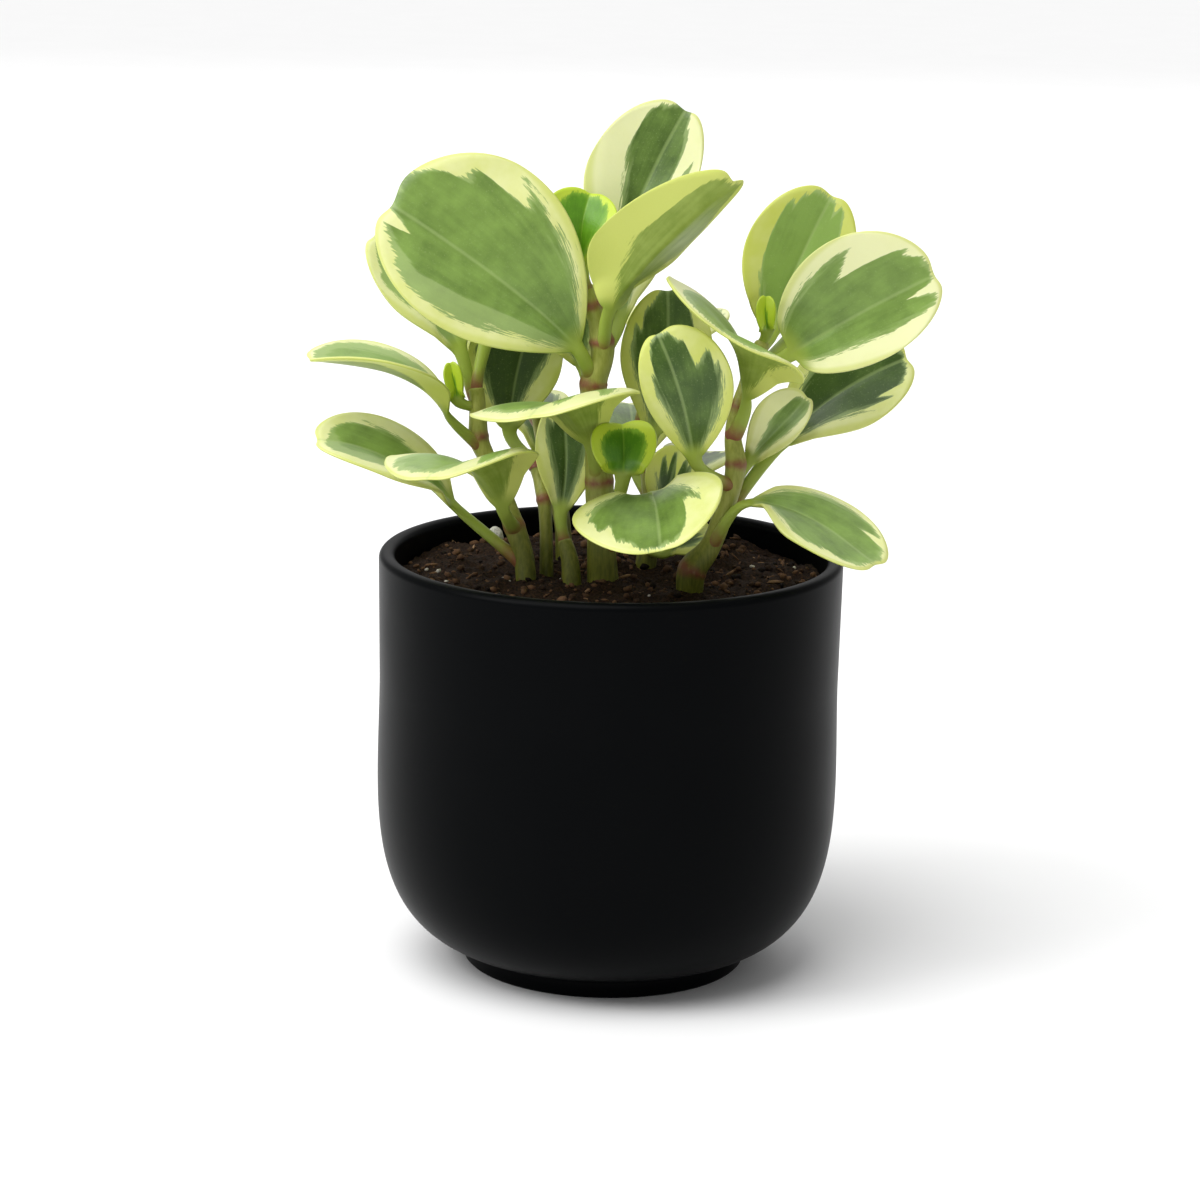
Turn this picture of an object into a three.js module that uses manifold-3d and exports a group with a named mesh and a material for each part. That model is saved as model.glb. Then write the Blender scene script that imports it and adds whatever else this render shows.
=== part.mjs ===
// Variegated baby rubber plant (Peperomia obtusifolia) in a round-bottomed ceramic pot.
// Millimetres, +Z up. The origin is the centre of the pot's foot, and the plant's front faces -Y.
import * as THREE from "three";
import { mergeVertices } from "three/addons/utils/BufferGeometryUtils.js";
import Module from "manifold-3d";

const wasm = await Module();
wasm.setup();

// Driving dimensions
const POT_RADIUS = 60;
const POT_HEIGHT = 109;
const POT_TAPER = 0.4; // the wall leans in by this much down to the shoulder
const SHOULDER_HEIGHT = 75.5; // where the straight wall turns into the round belly
const WALL = 4.2;
const FLOOR = 7;
const RIM_ROUND = 2;
const FOOT_RADIUS = 36.8;
const FOOT_HEIGHT = 4.5;
const FOOT_CHAMFER = 0.6;
const BELLY_DROP = 30; // how far down the belly keeps the wall's direction
const BELLY_REACH = 28; // how far out the belly keeps the foot's direction
const BELLY_RISE = 0.26; // slope of the belly where it meets the foot

const SOIL_TOP = 102;
const SOIL_HEAP = 1.6; // the surface rises by this much towards the middle
const SOIL_BUMP = 0.5;
// Waves of the soil's surface: turns in radians per millimetre along x and along y, and a start in radians.
const SOIL_WAVES = [[0.31, 0.05, 1.7], [0.06, 0.29, 0.4], [0.21, -0.37, 2.6]];
const STEM_DEPTH = 14; // how deep a stem stands in the soil
const FIT_GAP = 0.3; // clearance between pieces that touch

const MARGIN_THICKNESS = 0.8;
const MIDRIB_THICKNESS = 1.6;
const STALK_RADIUS = 1; // of the smallest leaf stalks
const STALK_SHARE = 0.018; // a stalk's further radius as a share of its blade's width
const ROOT_GAP = 0.8; // clearance between a leaf stalk's root and the leaning stem
const NECK_HALF_WIDTH = 1.9;
const TIP_NOTCH_WIDTH = 0.2; // share of the half width that the notch at the tip spreads over

// Mesh fineness
const POT_SEGMENTS = 40;
const SOIL_SEGMENTS = 32;
const SOIL_RINGS = [1, 0.85, 0.68, 0.5, 0.32, 0.15, 0]; // shares of the soil's radius
const BELLY_STEPS = 6;
const RIM_STEPS = 4;
const STEM_SIDES = 8;
const BLADE_COLUMNS = 8;
const BLADE_ROWS = 5;
const PETIOLE_STEPS = 3;

const COLOURS = {
  glaze: { color: 0x101214, roughness: 0.42 },
  soil: { color: 0x35261b, roughness: 0.95 },
  stem: { color: 0x70802a, roughness: 0.5 },
  leaf: { color: 0x6f9a4e, roughness: 0.4 },
  youngLeaf: { color: 0x7fae2b, roughness: 0.38 },
  pebble: { color: 0xd8d6cc, roughness: 0.8 },
};

// Stems: each point is [x, y, z, radius]. The first point is where the stem leaves the soil.
const STEMS = [
  {
    name: "stem_left",
    path: [
      [-21.5, -12, 103, 2.7], [-22.5, -10.5, 110, 2.6], [-25, -9, 117, 2.7], [-28.5, -6, 126, 2.3],
      [-32.5, -4, 134, 2.3], [-34.5, -3, 139, 2.6], [-35, -2, 147, 2.1], [-35.5, -1, 151, 2.2],
    ],
  },
  {
    name: "stem_main",
    path: [
      [-2, -12, 103, 4.2], [-2.5, -12, 111, 3.8], [-3, -12, 121, 3.5], [-3.5, -12, 130, 3.7],
      [-4, -12, 139, 3.2], [-4.5, -12, 148, 3.2], [-5.5, -12, 155, 3.5], [-3.5, -12, 161, 2.9],
      [-3.5, -12, 166, 3.2], [-5, -12, 171, 2.2], [-6.5, -12, 175, 2.4], [-8, -12, 180, 1.7],
    ],
  },
  {
    name: "stem_right",
    path: [
      [20, -20, 103, 3.4], [20.5, -20, 109, 3.7], [25, -19, 115, 2.8], [28, -18, 123, 2.5],
      [30, -18, 130, 2.4], [31, -17, 136, 2.7], [30, -16, 143, 2.2], [31.5, -15, 150, 2.3],
      [34, -12, 158, 2], [37, -10, 166, 2],
    ],
  },
  {
    name: "stem_slim",
    path: [
      [-16.5, -6, 103, 1.8], [-17, -4, 118, 1.7], [-17.5, -3, 123, 2], [-19, 0, 128, 1.7],
      [-20, 1.5, 131, 1.7],
    ],
  },
  {
    name: "stem_fork",
    path: [[-10, -14, 103, 2.6], [-10.5, -13, 109, 2.3], [-12, -11, 114, 2]],
  },
  {
    name: "stem_back",
    path: [
      [9, 8, 103, 2.8], [10, 9, 112, 2.6], [10.5, 10, 121, 2.7], [9, 11, 131, 2.3],
      [8, 12, 141, 2.5], [9, 13, 148, 2],
    ],
  },
  {
    name: "stem_back_left",
    path: [
      [-12, 16, 103, 2.4], [-13, 16, 113, 2.2], [-15, 16, 123, 2.4], [-18, 16, 133, 2], [-20, 16, 143, 2],
    ],
  },
];

// Leaves. `from` is the height at which the petiole leaves its stem, and without it the leaf grows from
// the stem's top. neck, mid and tip are points on the midrib. half is the blade's half width left and
// right of it. face is where the upper side looks to. fold is how far both sides are folded up, in
// degrees, at the neck and at the tip. A leaf may also give cup, the further upward turn of its margins,
// shoulder, the share of its length at which it is widest, and base, under 1 for a rounder lower end.
const LEAVES = [
  {
    name: "leaf_big_round", stem: "stem_main", from: 156,
    half: [19, 26], face: [0.1, -1, 0.25], fold: [12, 2], shoulder: 0.66,
    neck: [-10, -16, 165], mid: [-29, -20, 182], tip: [-58, -18, 201],
  },
  {
    name: "leaf_behind_big", stem: "stem_left", from: 148,
    half: [10, 12], face: [0.2, -1, 0.4], fold: [30, 8],
    neck: [-40, 2, 161], mid: [-50, 6, 176], tip: [-63, 8, 189],
  },
  {
    name: "leaf_hidden_upright", stem: "stem_left",
    half: [10, 10], face: [0, -1, 0.2], fold: [20, 5],
    neck: [-33, 3, 164], mid: [-31, 6, 177], tip: [-29, 10, 190],
  },
  {
    name: "leaf_upper_left", stem: "stem_left", from: 136,
    half: [13, 13], face: [0.2, 0, 1], fold: [45, 14],
    neck: [-43, -7, 146], mid: [-56, -11, 156.5], tip: [-78, -16, 160],
  },
  {
    name: "leaf_lower_left", stem: "stem_left", from: 107,
    half: [12, 13], face: [0.3, -0.4, 0.9], fold: [45, 8],
    neck: [-41, -6, 122], mid: [-57, -10, 134], tip: [-76, -14, 139.5],
  },
  {
    name: "leaf_front_left", stem: "stem_left", from: 116,
    half: [19, 20], face: [-0.3, -0.3, 1], fold: [50, 2],
    neck: [-28, -18, 124], mid: [-36, -30, 137], tip: [-46, -50, 136.5],
  },
  {
    name: "leaf_front_centre", stem: "stem_main", from: 130,
    half: [22, 22], face: [-0.28, -0.12, 1], fold: [50, 0], cup: 0,
    neck: [-6, -18, 141], mid: [-14, -32, 153], tip: [-21, -50, 152.5],
  },
  {
    name: "leaf_young_top", stem: "stem_main", young: true,
    half: [11, 10], face: [-0.1, -1, 0.3], fold: [45, 20],
    neck: [-9, -11, 185], mid: [-9, -9, 194], tip: [-7, -5, 202.5],
  },
  {
    name: "leaf_upper_right", stem: "stem_main", from: 163,
    half: [17, 14.5], face: [-0.3, 0.75, 0.58], fold: [40, 26], shoulder: 0.42,
    neck: [-1.5, -18, 175], mid: [9, -26, 190], tip: [29, -37, 211],
  },
  {
    name: "leaf_top", stem: "stem_main", from: 171,
    half: [16, 12], face: [-0.1, -1, 0.15], fold: [20, 6], shoulder: 0.5,
    neck: [-1, -4, 184], mid: [7, 2, 204], tip: [17, 8, 223],
  },
  {
    name: "leaf_behind_left", stem: "stem_slim",
    half: [14, 11], face: [0.1, -1, 0.3], fold: [20, 6],
    neck: [-27, 9, 139], mid: [-25, 11, 155], tip: [-20, 12, 171],
  },
  {
    name: "leaf_behind_main", stem: "stem_main", from: 148,
    half: [10, 10], face: [0, -1, 0.2], fold: [20, 6],
    neck: [-8, -2, 158], mid: [-11, 2, 168], tip: [-15, 6, 178],
  },
  {
    name: "leaf_cup", stem: "stem_main", from: 118, young: true,
    half: [9, 9], face: [0, -0.8, 0.6], fold: [30, 20], base: 0.5,
    neck: [2.5, -24, 134], mid: [2.5, -22.5, 141], tip: [2, -19, 146],
  },
  {
    name: "leaf_tall_behind", stem: "stem_back", from: 128,
    half: [12, 12], face: [0, -1, 0.15], fold: [20, 6],
    neck: [10, 3, 140], mid: [13, 5, 158], tip: [13, 7, 177],
  },
  {
    name: "leaf_tilted_right", stem: "stem_right", from: 143,
    half: [21, 22], face: [0.5, -0.1, 0.86], fold: [50, 2],
    neck: [33, -20, 154], mid: [29, -34, 170], tip: [25, -54, 175],
  },
  {
    name: "leaf_oval", stem: "stem_right", from: 130,
    half: [9, 14], face: [-0.1, -1, 0.1], fold: [12, 4],
    neck: [20, -28, 140], mid: [16, -32, 157], tip: [10, -30, 171.5],
  },
  {
    name: "leaf_front_low", stem: "stem_main", from: 111,
    half: [18, 21], face: [-0.27, -0.35, 0.9], fold: [32, 8],
    neck: [10, -24, 129], mid: [11, -41, 128], tip: [12, -60, 122],
  },
  {
    name: "leaf_low_right", stem: "stem_right", from: 114,
    half: [13, 14], face: [0.05, -0.25, 1], fold: [35, 0],
    neck: [35, -24, 127.5], mid: [50, -30, 124.5], tip: [66, -42, 115.5],
  },
  {
    name: "leaf_right_round", stem: "stem_right", from: 157,
    half: [19.5, 13], face: [0.1, -1, 0.2], fold: [14, 4], base: 0.5,
    neck: [44, -20, 165], mid: [60.5, -23, 176], tip: [79.5, -24, 186.5],
  },
  {
    name: "leaf_right_upright", stem: "stem_right", from: 163,
    half: [15, 13], face: [0, -1, 0.1], fold: [20, 6], base: 0.7,
    neck: [40, -1, 168], mid: [46, 4, 184], tip: [55, 9, 202],
  },
  {
    name: "leaf_right_mid", stem: "stem_right", from: 122,
    half: [13, 12], face: [0.1, -1, 0.6], fold: [25, 6],
    neck: [43, -8, 140.5], mid: [58, 0, 152], tip: [76, 8, 160],
  },
  {
    name: "leaf_right_small", stem: "stem_right", from: 129,
    half: [8, 5], face: [0, -1, 0.3], fold: [25, 10],
    neck: [35, -13, 137], mid: [42, -13, 145], tip: [49, -10, 152.5],
  },
  {
    name: "leaf_bud_right", stem: "stem_right", young: true,
    half: [3, 3], face: [0, -1, 0.2], fold: [50, 30],
    neck: [38, -12, 169.5], mid: [37.5, -13, 174], tip: [37.5, -12, 178],
  },
  {
    name: "leaf_bud_left", stem: "stem_left", from: 146, young: true,
    half: [2.8, 2.8], face: [0, -1, 0.2], fold: [50, 30],
    neck: [-40, -4, 149], mid: [-41, -4, 154], tip: [-42, -3, 158],
  },
  {
    name: "leaf_dark_centre", stem: "stem_back", from: 110,
    half: [7, 7], face: [0, -1, 0.3], fold: [20, 8],
    neck: [13, -2, 121], mid: [15, -3, 129], tip: [17, -1, 137],
  },
  {
    name: "leaf_low_back", stem: "stem_back", from: 107,
    half: [7, 7], face: [-0.3, -0.6, 0.8], fold: [25, 8],
    neck: [15, 2, 109], mid: [20, 2, 112], tip: [26, 3, 114],
  },
  {
    name: "leaf_fork", stem: "stem_fork",
    half: [8, 8], face: [0, -1, 0.2], fold: [20, 6],
    neck: [-13, -9, 122], mid: [-12, -6, 135], tip: [-13.5, -2, 149],
  },
  {
    name: "leaf_back_left", stem: "stem_back_left", from: 139,
    half: [14, 14], face: [-0.2, -0.3, 1], fold: [30, 8],
    neck: [-26, 22, 150], mid: [-33, 31, 163], tip: [-42, 42, 169],
  },
  {
    name: "leaf_back_left_low", stem: "stem_back_left", from: 122,
    half: [11, 11], face: [0, 0.2, 1], fold: [35, 8],
    neck: [-19, 23, 130], mid: [-22, 34, 139], tip: [-25, 50, 141],
  },
  {
    name: "leaf_back_low", stem: "stem_back", from: 120,
    half: [13, 13], face: [0, 0.2, 1], fold: [35, 8],
    neck: [6, 18, 128], mid: [5, 30, 137], tip: [4, 48, 139],
  },
  {
    name: "leaf_back_centre", stem: "stem_back",
    half: [14, 14], face: [0, 0, 1], fold: [30, 8],
    neck: [12, 20, 154], mid: [16, 31, 162], tip: [20, 46, 165],
  },
  {
    name: "leaf_back_right", stem: "stem_right", from: 155,
    half: [12, 12], face: [0.2, 0.1, 1], fold: [30, 8],
    neck: [45, 4, 166], mid: [55, 14, 173], tip: [66, 28, 174],
  },
  {
    name: "leaf_back_top", stem: "stem_main", from: 160,
    half: [9, 9], face: [0, 0, 1], fold: [30, 8],
    neck: [1, 2, 170], mid: [2, 12, 180], tip: [3, 25, 184],
  },
  {
    name: "leaf_back_low_right", stem: "stem_back", from: 114,
    half: [10, 10], face: [0.1, 0.1, 1], fold: [30, 8],
    neck: [17, 18, 121], mid: [22, 29, 127], tip: [26, 44, 127],
  },
];

// A lump of perlite half sunk in the soil at the back.
const PEBBLE = { centre: [-31, 34, 105], size: [2.2, 1.8, 2.6] };

const vector = (xyz) => new THREE.Vector3(...xyz);

// Solids

// A closed skin over rings of points. A ring's first half is its upper side, and its second half runs
// back below, so each point has a partner under it and both sides are split along the same diagonals.
function loft(rings) {
  const count = rings[0].length;
  const half = count / 2;
  const triangles = [];
  rings.slice(1).forEach((_, row) => {
    for (let i = 0; i < count; i += 1) {
      const next = (i + 1) % count;
      const [a, b] = [row * count + i, row * count + next];
      const [c, d] = [b + count, a + count];
      triangles.push(...(i < half ? [a, b, c, a, c, d] : [a, b, d, b, c, d]));
    }
  });
  const last = (rings.length - 1) * count;
  for (let i = 0; i < half - 1; i += 1) {
    const under = count - 1 - i;
    triangles.push(i, under, i + 1, i + 1, under, under - 1);
    triangles.push(last + i, last + i + 1, last + under, last + i + 1, last + under - 1, last + under);
  }
  const geometry = new THREE.BufferGeometry().setFromPoints(rings.flat());
  return geometry.setIndex(triangles);
}

function solidOf(geometry) {
  const bare = geometry.clone().deleteAttribute("normal").deleteAttribute("uv");
  const merged = mergeVertices(bare, 1e-3);
  return new wasm.Manifold(
    new wasm.Mesh({
      numProp: 3,
      vertProperties: merged.attributes.position.array,
      triVerts: new Uint32Array(merged.index.array),
    }),
  );
}

function geometryOf(solid) {
  const { vertProperties, triVerts } = solid.getMesh();
  const geometry = new THREE.BufferGeometry();
  geometry.setAttribute("position", new THREE.BufferAttribute(vertProperties, 3));
  return geometry.setIndex(new THREE.BufferAttribute(triVerts, 1));
}

// The side direction nearest to the last one that is square to the curve.
function squared(side, along) {
  return side.clone().addScaledVector(along, -side.dot(along)).normalize();
}

// Points round a centre, from left over the top to the right and back below.
function oval(centre, side, normal, halfWidth, halfHeight, count) {
  return Array.from({ length: count }, (_, i) => {
    const angle = Math.PI - ((i + 0.5) / count) * 2 * Math.PI;
    return centre
      .clone()
      .addScaledVector(side, halfWidth * Math.cos(angle))
      .addScaledVector(normal, halfHeight * Math.sin(angle));
  });
}

// Pot

// The belly's curve, from the foot up to the straight wall.
function wallProfile(wallRadius, footRadius, footHeight, drop) {
  return new THREE.CubicBezierCurve(
    new THREE.Vector2(footRadius, footHeight),
    new THREE.Vector2(footRadius + BELLY_REACH, footHeight + BELLY_REACH * BELLY_RISE),
    new THREE.Vector2(wallRadius, SHOULDER_HEIGHT - drop),
    new THREE.Vector2(wallRadius, SHOULDER_HEIGHT),
  ).getPoints(BELLY_STEPS);
}

function outerProfile() {
  return wallProfile(POT_RADIUS - POT_TAPER, FOOT_RADIUS, FOOT_HEIGHT, BELLY_DROP);
}

function innerProfile() {
  return wallProfile(POT_RADIUS - POT_TAPER - WALL, FOOT_RADIUS - WALL, FLOOR, BELLY_DROP - WALL);
}

function lathe(profile, segments) {
  const geometry = new THREE.LatheGeometry(profile, segments);
  return geometry.rotateX(Math.PI / 2);
}

function potGeometry() {
  const rim = new THREE.EllipseCurve(
    POT_RADIUS - WALL / 2, POT_HEIGHT - RIM_ROUND, WALL / 2, RIM_ROUND, 0, Math.PI,
  ).getPoints(RIM_STEPS);
  const foot = [
    new THREE.Vector2(0, 0),
    new THREE.Vector2(FOOT_RADIUS - FOOT_CHAMFER, 0),
    new THREE.Vector2(FOOT_RADIUS, FOOT_CHAMFER),
  ];
  const inside = innerProfile().reverse();
  inside.push(new THREE.Vector2(0, FLOOR));
  return lathe([...foot, ...outerProfile(), ...rim, ...inside], POT_SEGMENTS);
}

// Soil

function soilHeight(x, y) {
  const share = Math.hypot(x, y) / (POT_RADIUS - WALL);
  const heap = SOIL_HEAP * (1 - share * share);
  const waves = SOIL_WAVES.map(([alongX, alongY, start]) => Math.sin(x * alongX + y * alongY + start));
  return SOIL_TOP + heap + SOIL_BUMP * waves.reduce((sum, wave) => sum + wave);
}

function soilGeometry() {
  const inset = innerProfile().map((p) => new THREE.Vector2(p.x - FIT_GAP, p.y + FIT_GAP));
  const edge = POT_RADIUS - WALL - FIT_GAP;
  const top = SOIL_RINGS.map((share) => new THREE.Vector2(edge * share, SOIL_TOP));
  const profile = [new THREE.Vector2(0, FLOOR + FIT_GAP), ...inset, ...top];
  const geometry = lathe(profile, SOIL_SEGMENTS);
  const position = geometry.getAttribute("position");
  for (let i = 0; i < position.count; i += 1) {
    if (position.getZ(i) > SOIL_TOP - SOIL_HEAP) {
      position.setZ(i, soilHeight(position.getX(i), position.getY(i)));
    }
  }
  return geometry;
}

// Stems

function stemRings(path) {
  const curve = new THREE.CatmullRomCurve3(path.map(([x, y, z]) => new THREE.Vector3(x, y, z)));
  let side = new THREE.Vector3(1, 0, 0);
  return path.map(([x, y, z, radius], i) => {
    const along = curve.getTangent(i / (path.length - 1));
    side = squared(side, along);
    const normal = side.clone().cross(along);
    return oval(new THREE.Vector3(x, y, z), side, normal, radius, radius, STEM_SIDES);
  });
}

function stemGeometry({ path }) {
  const [x, y, z, radius] = path[0];
  const [foot] = stemRings([[x, y, z - STEM_DEPTH, radius], path[0]]);
  return loft([foot, ...stemRings(path)]);
}

// The hole that a stem stands in.
function holeGeometry({ path }) {
  const [x, y, z, radius] = path[0];
  const depths = [z - STEM_DEPTH - FIT_GAP, z + STEM_DEPTH];
  return loft(stemRings(depths.map((depth) => [x, y, depth, radius + FIT_GAP])));
}

function stemAt(path, height) {
  const above = Math.max(1, path.findIndex(([, , z]) => z >= height));
  const [low, high] = [path[above - 1], path[above]];
  const share = (height - low[2]) / (high[2] - low[2]);
  const mix = low.map((value, i) => value + (high[i] - value) * share);
  return { centre: vector(mix.slice(0, 3)), radius: mix[3] };
}

// Leaves

const radians = THREE.MathUtils.degToRad;

// One point of the blade, from neck (s = 0) to margin (s = 1) and from left (t = -1) to right (t = 1),
// with the direction square to the blade there.
function bladePoint(leaf, rib, s, t) {
  const { half, fold, shoulder = 0.55, notch = 0.03, cup = 10, base = 1 } = leaf;
  const reach = shoulder + (1 - shoulder) * Math.sqrt(Math.max(0, 1 - t * t));
  const dent = notch * s ** 4 * Math.exp(-((t / TIP_NOTCH_WIDTH) ** 2));
  const u = s * reach * (1 - dent);
  const along = rib.getTangent(u);
  const up = squared(vector(leaf.face), along);
  const side = along.clone().cross(up);
  const sideHalf = t < 0 ? half[0] : half[1];
  const spread = NECK_HALF_WIDTH + (sideHalf - NECK_HALF_WIDTH) * Math.sin((s * Math.PI) / 2) ** base;
  const across = Math.abs(t) * spread;
  const folded = THREE.MathUtils.lerp(fold[1], fold[0], (1 - s) ** 2) * Math.min(1, s * 4);
  const mean = radians(folded + (cup * Math.abs(t)) / 2);
  const lean = radians(folded + cup * Math.abs(t));
  const point = rib
    .getPoint(u)
    .addScaledVector(side, Math.sign(t) * across * Math.cos(mean))
    .addScaledVector(up, across * Math.sin(mean));
  const normal = side
    .clone()
    .multiplyScalar(-Math.sign(t) * Math.sin(lean))
    .addScaledVector(up, Math.cos(lean));
  return { point, normal };
}

function bladeRings(leaf, rib) {
  return Array.from({ length: BLADE_ROWS + 1 }, (_, row) => {
    const s = row / BLADE_ROWS;
    const cells = Array.from({ length: BLADE_COLUMNS + 1 }, (_, column) => {
      const t = Math.sin(((column / BLADE_COLUMNS) * 2 - 1) * (Math.PI / 2));
      const { point, normal } = bladePoint(leaf, rib, s, t);
      const thickness = MARGIN_THICKNESS + (MIDRIB_THICKNESS - MARGIN_THICKNESS) * (1 - t * t) * (1 - s);
      const offset = normal.multiplyScalar(thickness / 2);
      return [point.clone().add(offset), point.clone().sub(offset)];
    });
    return [...cells.map(([upper]) => upper), ...cells.map(([, lower]) => lower).reverse()];
  });
}

// Where a leaf stalk starts, and in which direction.
function petioleRoot(leaf, neck) {
  const { path } = STEMS.find((stem) => stem.name === leaf.stem);
  if (!leaf.from) {
    const [below, top] = path.slice(-2).map(([x, y, z]) => new THREE.Vector3(x, y, z));
    const direction = top.clone().sub(below).normalize();
    return { root: top.addScaledVector(direction, FIT_GAP), direction };
  }
  const { centre, radius } = stemAt(path, leaf.from);
  const direction = neck.clone().sub(centre).setZ(0).normalize();
  return { root: centre.addScaledVector(direction, radius + ROOT_GAP), direction };
}

// The leaf stalk, from the stem's surface to the neck of the blade.
function petioleRings(leaf, rib) {
  const neck = rib.getPoint(0);
  const along = rib.getTangent(0);
  const { root, direction } = petioleRoot(leaf, neck);
  const pull = root.distanceTo(neck) / 4;
  const stalk = STALK_RADIUS + STALK_SHARE * (leaf.half[0] + leaf.half[1]);
  const curve = new THREE.CubicBezierCurve3(
    root,
    root.clone().addScaledVector(direction, pull),
    neck.clone().addScaledVector(along, -1.3 * pull),
    neck,
  );
  const up = squared(vector(leaf.face), along);
  let side = along.clone().cross(up);
  const rings = [];
  for (let step = PETIOLE_STEPS - 1; step >= 0; step -= 1) {
    const share = step / PETIOLE_STEPS;
    const forward = curve.getTangent(share);
    side = squared(side, forward);
    const normal = side.clone().cross(forward);
    const count = 2 * (BLADE_COLUMNS + 1);
    const halfWidth = THREE.MathUtils.lerp(stalk, NECK_HALF_WIDTH, share);
    rings.unshift(oval(curve.getPoint(share), side, normal, halfWidth, stalk, count));
  }
  return rings;
}

function leafGeometry(leaf) {
  const [neck, mid, tip] = [vector(leaf.neck), vector(leaf.mid), vector(leaf.tip)];
  const bend = mid.multiplyScalar(2).addScaledVector(neck, -0.5).addScaledVector(tip, -0.5);
  const rib = new THREE.QuadraticBezierCurve3(neck, bend, tip);
  return loft([...petioleRings(leaf, rib), ...bladeRings(leaf, rib)]);
}

function pebbleGeometry(grow = 0) {
  const [x, y, z] = PEBBLE.size.map((radius) => radius + grow);
  return new THREE.IcosahedronGeometry(1, 1).scale(x, y, z).translate(...PEBBLE.centre);
}

// Assembly

const plant = new THREE.Group();

function place(name, geometry, look) {
  const mesh = new THREE.Mesh(geometry, new THREE.MeshStandardMaterial(look));
  mesh.name = name;
  plant.add(mesh);
}

place("pot", potGeometry(), COLOURS.glaze);

const hollows = [...STEMS.map(holeGeometry), pebbleGeometry(FIT_GAP)];
const soil = hollows.reduce((rest, hollow) => rest.subtract(solidOf(hollow)), solidOf(soilGeometry()));
place("soil", geometryOf(soil), COLOURS.soil);
place("pebble", pebbleGeometry(), COLOURS.pebble);

STEMS.forEach((stem) => place(stem.name, stemGeometry(stem), COLOURS.stem));
LEAVES.forEach((leaf) => {
  place(leaf.name, leafGeometry(leaf), leaf.young ? COLOURS.youngLeaf : COLOURS.leaf);
});

export default plant;
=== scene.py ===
import math
import random
from dataclasses import dataclass

import bmesh
import bpy
from mathutils import Matrix, Vector, noise


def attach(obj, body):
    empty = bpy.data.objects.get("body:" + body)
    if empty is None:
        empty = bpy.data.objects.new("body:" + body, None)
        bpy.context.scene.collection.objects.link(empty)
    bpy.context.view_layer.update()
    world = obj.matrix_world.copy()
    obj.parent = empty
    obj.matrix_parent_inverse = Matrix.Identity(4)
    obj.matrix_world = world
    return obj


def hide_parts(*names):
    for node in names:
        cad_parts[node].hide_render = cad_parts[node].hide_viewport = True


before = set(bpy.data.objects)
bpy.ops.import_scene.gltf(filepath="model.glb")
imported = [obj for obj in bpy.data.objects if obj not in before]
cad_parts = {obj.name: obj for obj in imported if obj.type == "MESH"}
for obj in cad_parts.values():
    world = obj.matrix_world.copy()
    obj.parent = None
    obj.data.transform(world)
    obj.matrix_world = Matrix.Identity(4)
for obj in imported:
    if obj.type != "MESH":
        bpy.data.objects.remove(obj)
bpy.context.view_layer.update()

MM = 0.001
SEED = 7

# Camera
CAMERA_PLACE = (-2.66, -949.7, 320.4)
CAMERA_PITCH = 0.232  # radians below the horizon
CAMERA_ROLL = 0.02
CAMERA_LENS = 112.9
CAMERA_SENSOR = 36

# Stage
FLOOR_REACH = 8000
WORLD_STRENGTH = 0.42
# Soft lights: place, aim, size and power in watts
LIGHTS = {
    "key_light": ((-1000, -500, 900), (0, 0, 120), 600, 7),
    "back_light": ((0, 1500, 1400), (0, 0, 150), 2000, 12),
}
SKY_LIGHT_FROM = (-0.3, -0.35, 1)
SKY_LIGHT_WIDTH = 50  # degrees
SKY_LIGHT_STRENGTH = 2.2

# Pot
POT_RADIUS = 60
POT_HEIGHT = 109
POT_TAPER = 0.4
SHOULDER_HEIGHT = 75.5
WALL = 4.2
FLOOR = 7
RIM_ROUND = 2
FOOT_RADIUS = 36.8
FOOT_HEIGHT = 4.5
FOOT_CHAMFER = 0.6
BELLY_DROP = 30
BELLY_REACH = 28
BELLY_RISE = 0.26
POT_SEGMENTS = 144
BELLY_STEPS = 40
RIM_STEPS = 16

# Soil
SOIL_TOP = 102
SOIL_HEAP = 1.6
SOIL_BUMP = 0.5
SOIL_WAVES = [(0.31, 0.05, 1.7), (0.06, 0.29, 0.4), (0.21, -0.37, 2.6)]
SOIL_CLOD = 1.3  # height of the clods
SOIL_RINGS = 90
SOIL_SEGMENTS = 220
FIT_GAP = 0.3

# Leaves
MARGIN_THICKNESS = 0.7
MIDRIB_THICKNESS = 1.6
STALK_RADIUS = 1
STALK_SHARE = 0.018
STALK_CLIMB = 0.9  # how steeply a leaf stalk leaves its stem
NECK_HALF_WIDTH = 1.9
TIP_NOTCH_WIDTH = 0.2
BLADE_COLUMNS = 64
BLADE_ROWS = 24
RING_POINTS = 2 * (BLADE_COLUMNS + 1) + 2  # the upper and the lower side and both edges
PETIOLE_STEPS = 10
STALK_GREEN = (152, 170, 68)
FLAME_RAGGEDNESS = 3  # in millimetres, on a blade of middling size
FULL_CREAM = 18  # a depth past which a margin is cream down to the midrib
DEPTH_LIMIT = 30  # a depth past which the distance to a margin doesn't matter
STALK_GREEN_DEPTH = 9  # a stalk has no margin, and counts as far inside the green
GROOVE_DEPTH = 0.35
GROOVE_WIDTH = 0.9
WAVE_HEIGHT = 0.8  # of a blade of middling size
WAVE_TURNS = 0.07  # waves per millimetre
EDGE_ROUND = 0.45  # how far an edge bulges, as a share of its thickness
INWARD = 0.97  # a place just inside an edge, which gives the edge's direction
STEM_DEPTH = 10
STEM_SIDES = 20
STEM_STEPS = 7  # rings between two points of a stem's path
COLLAR_WIDTH = 1.6  # the red ring at a node
RIDGE_WIDTH = 0.55
RIDGE_HEIGHT = 0.28
LUMP_HEIGHT = 0.22
LUMP_TURNS = 0.45  # lumps per millimetre round a stem
LUMP_STRETCH = 0.35  # fewer of them along it

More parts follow.
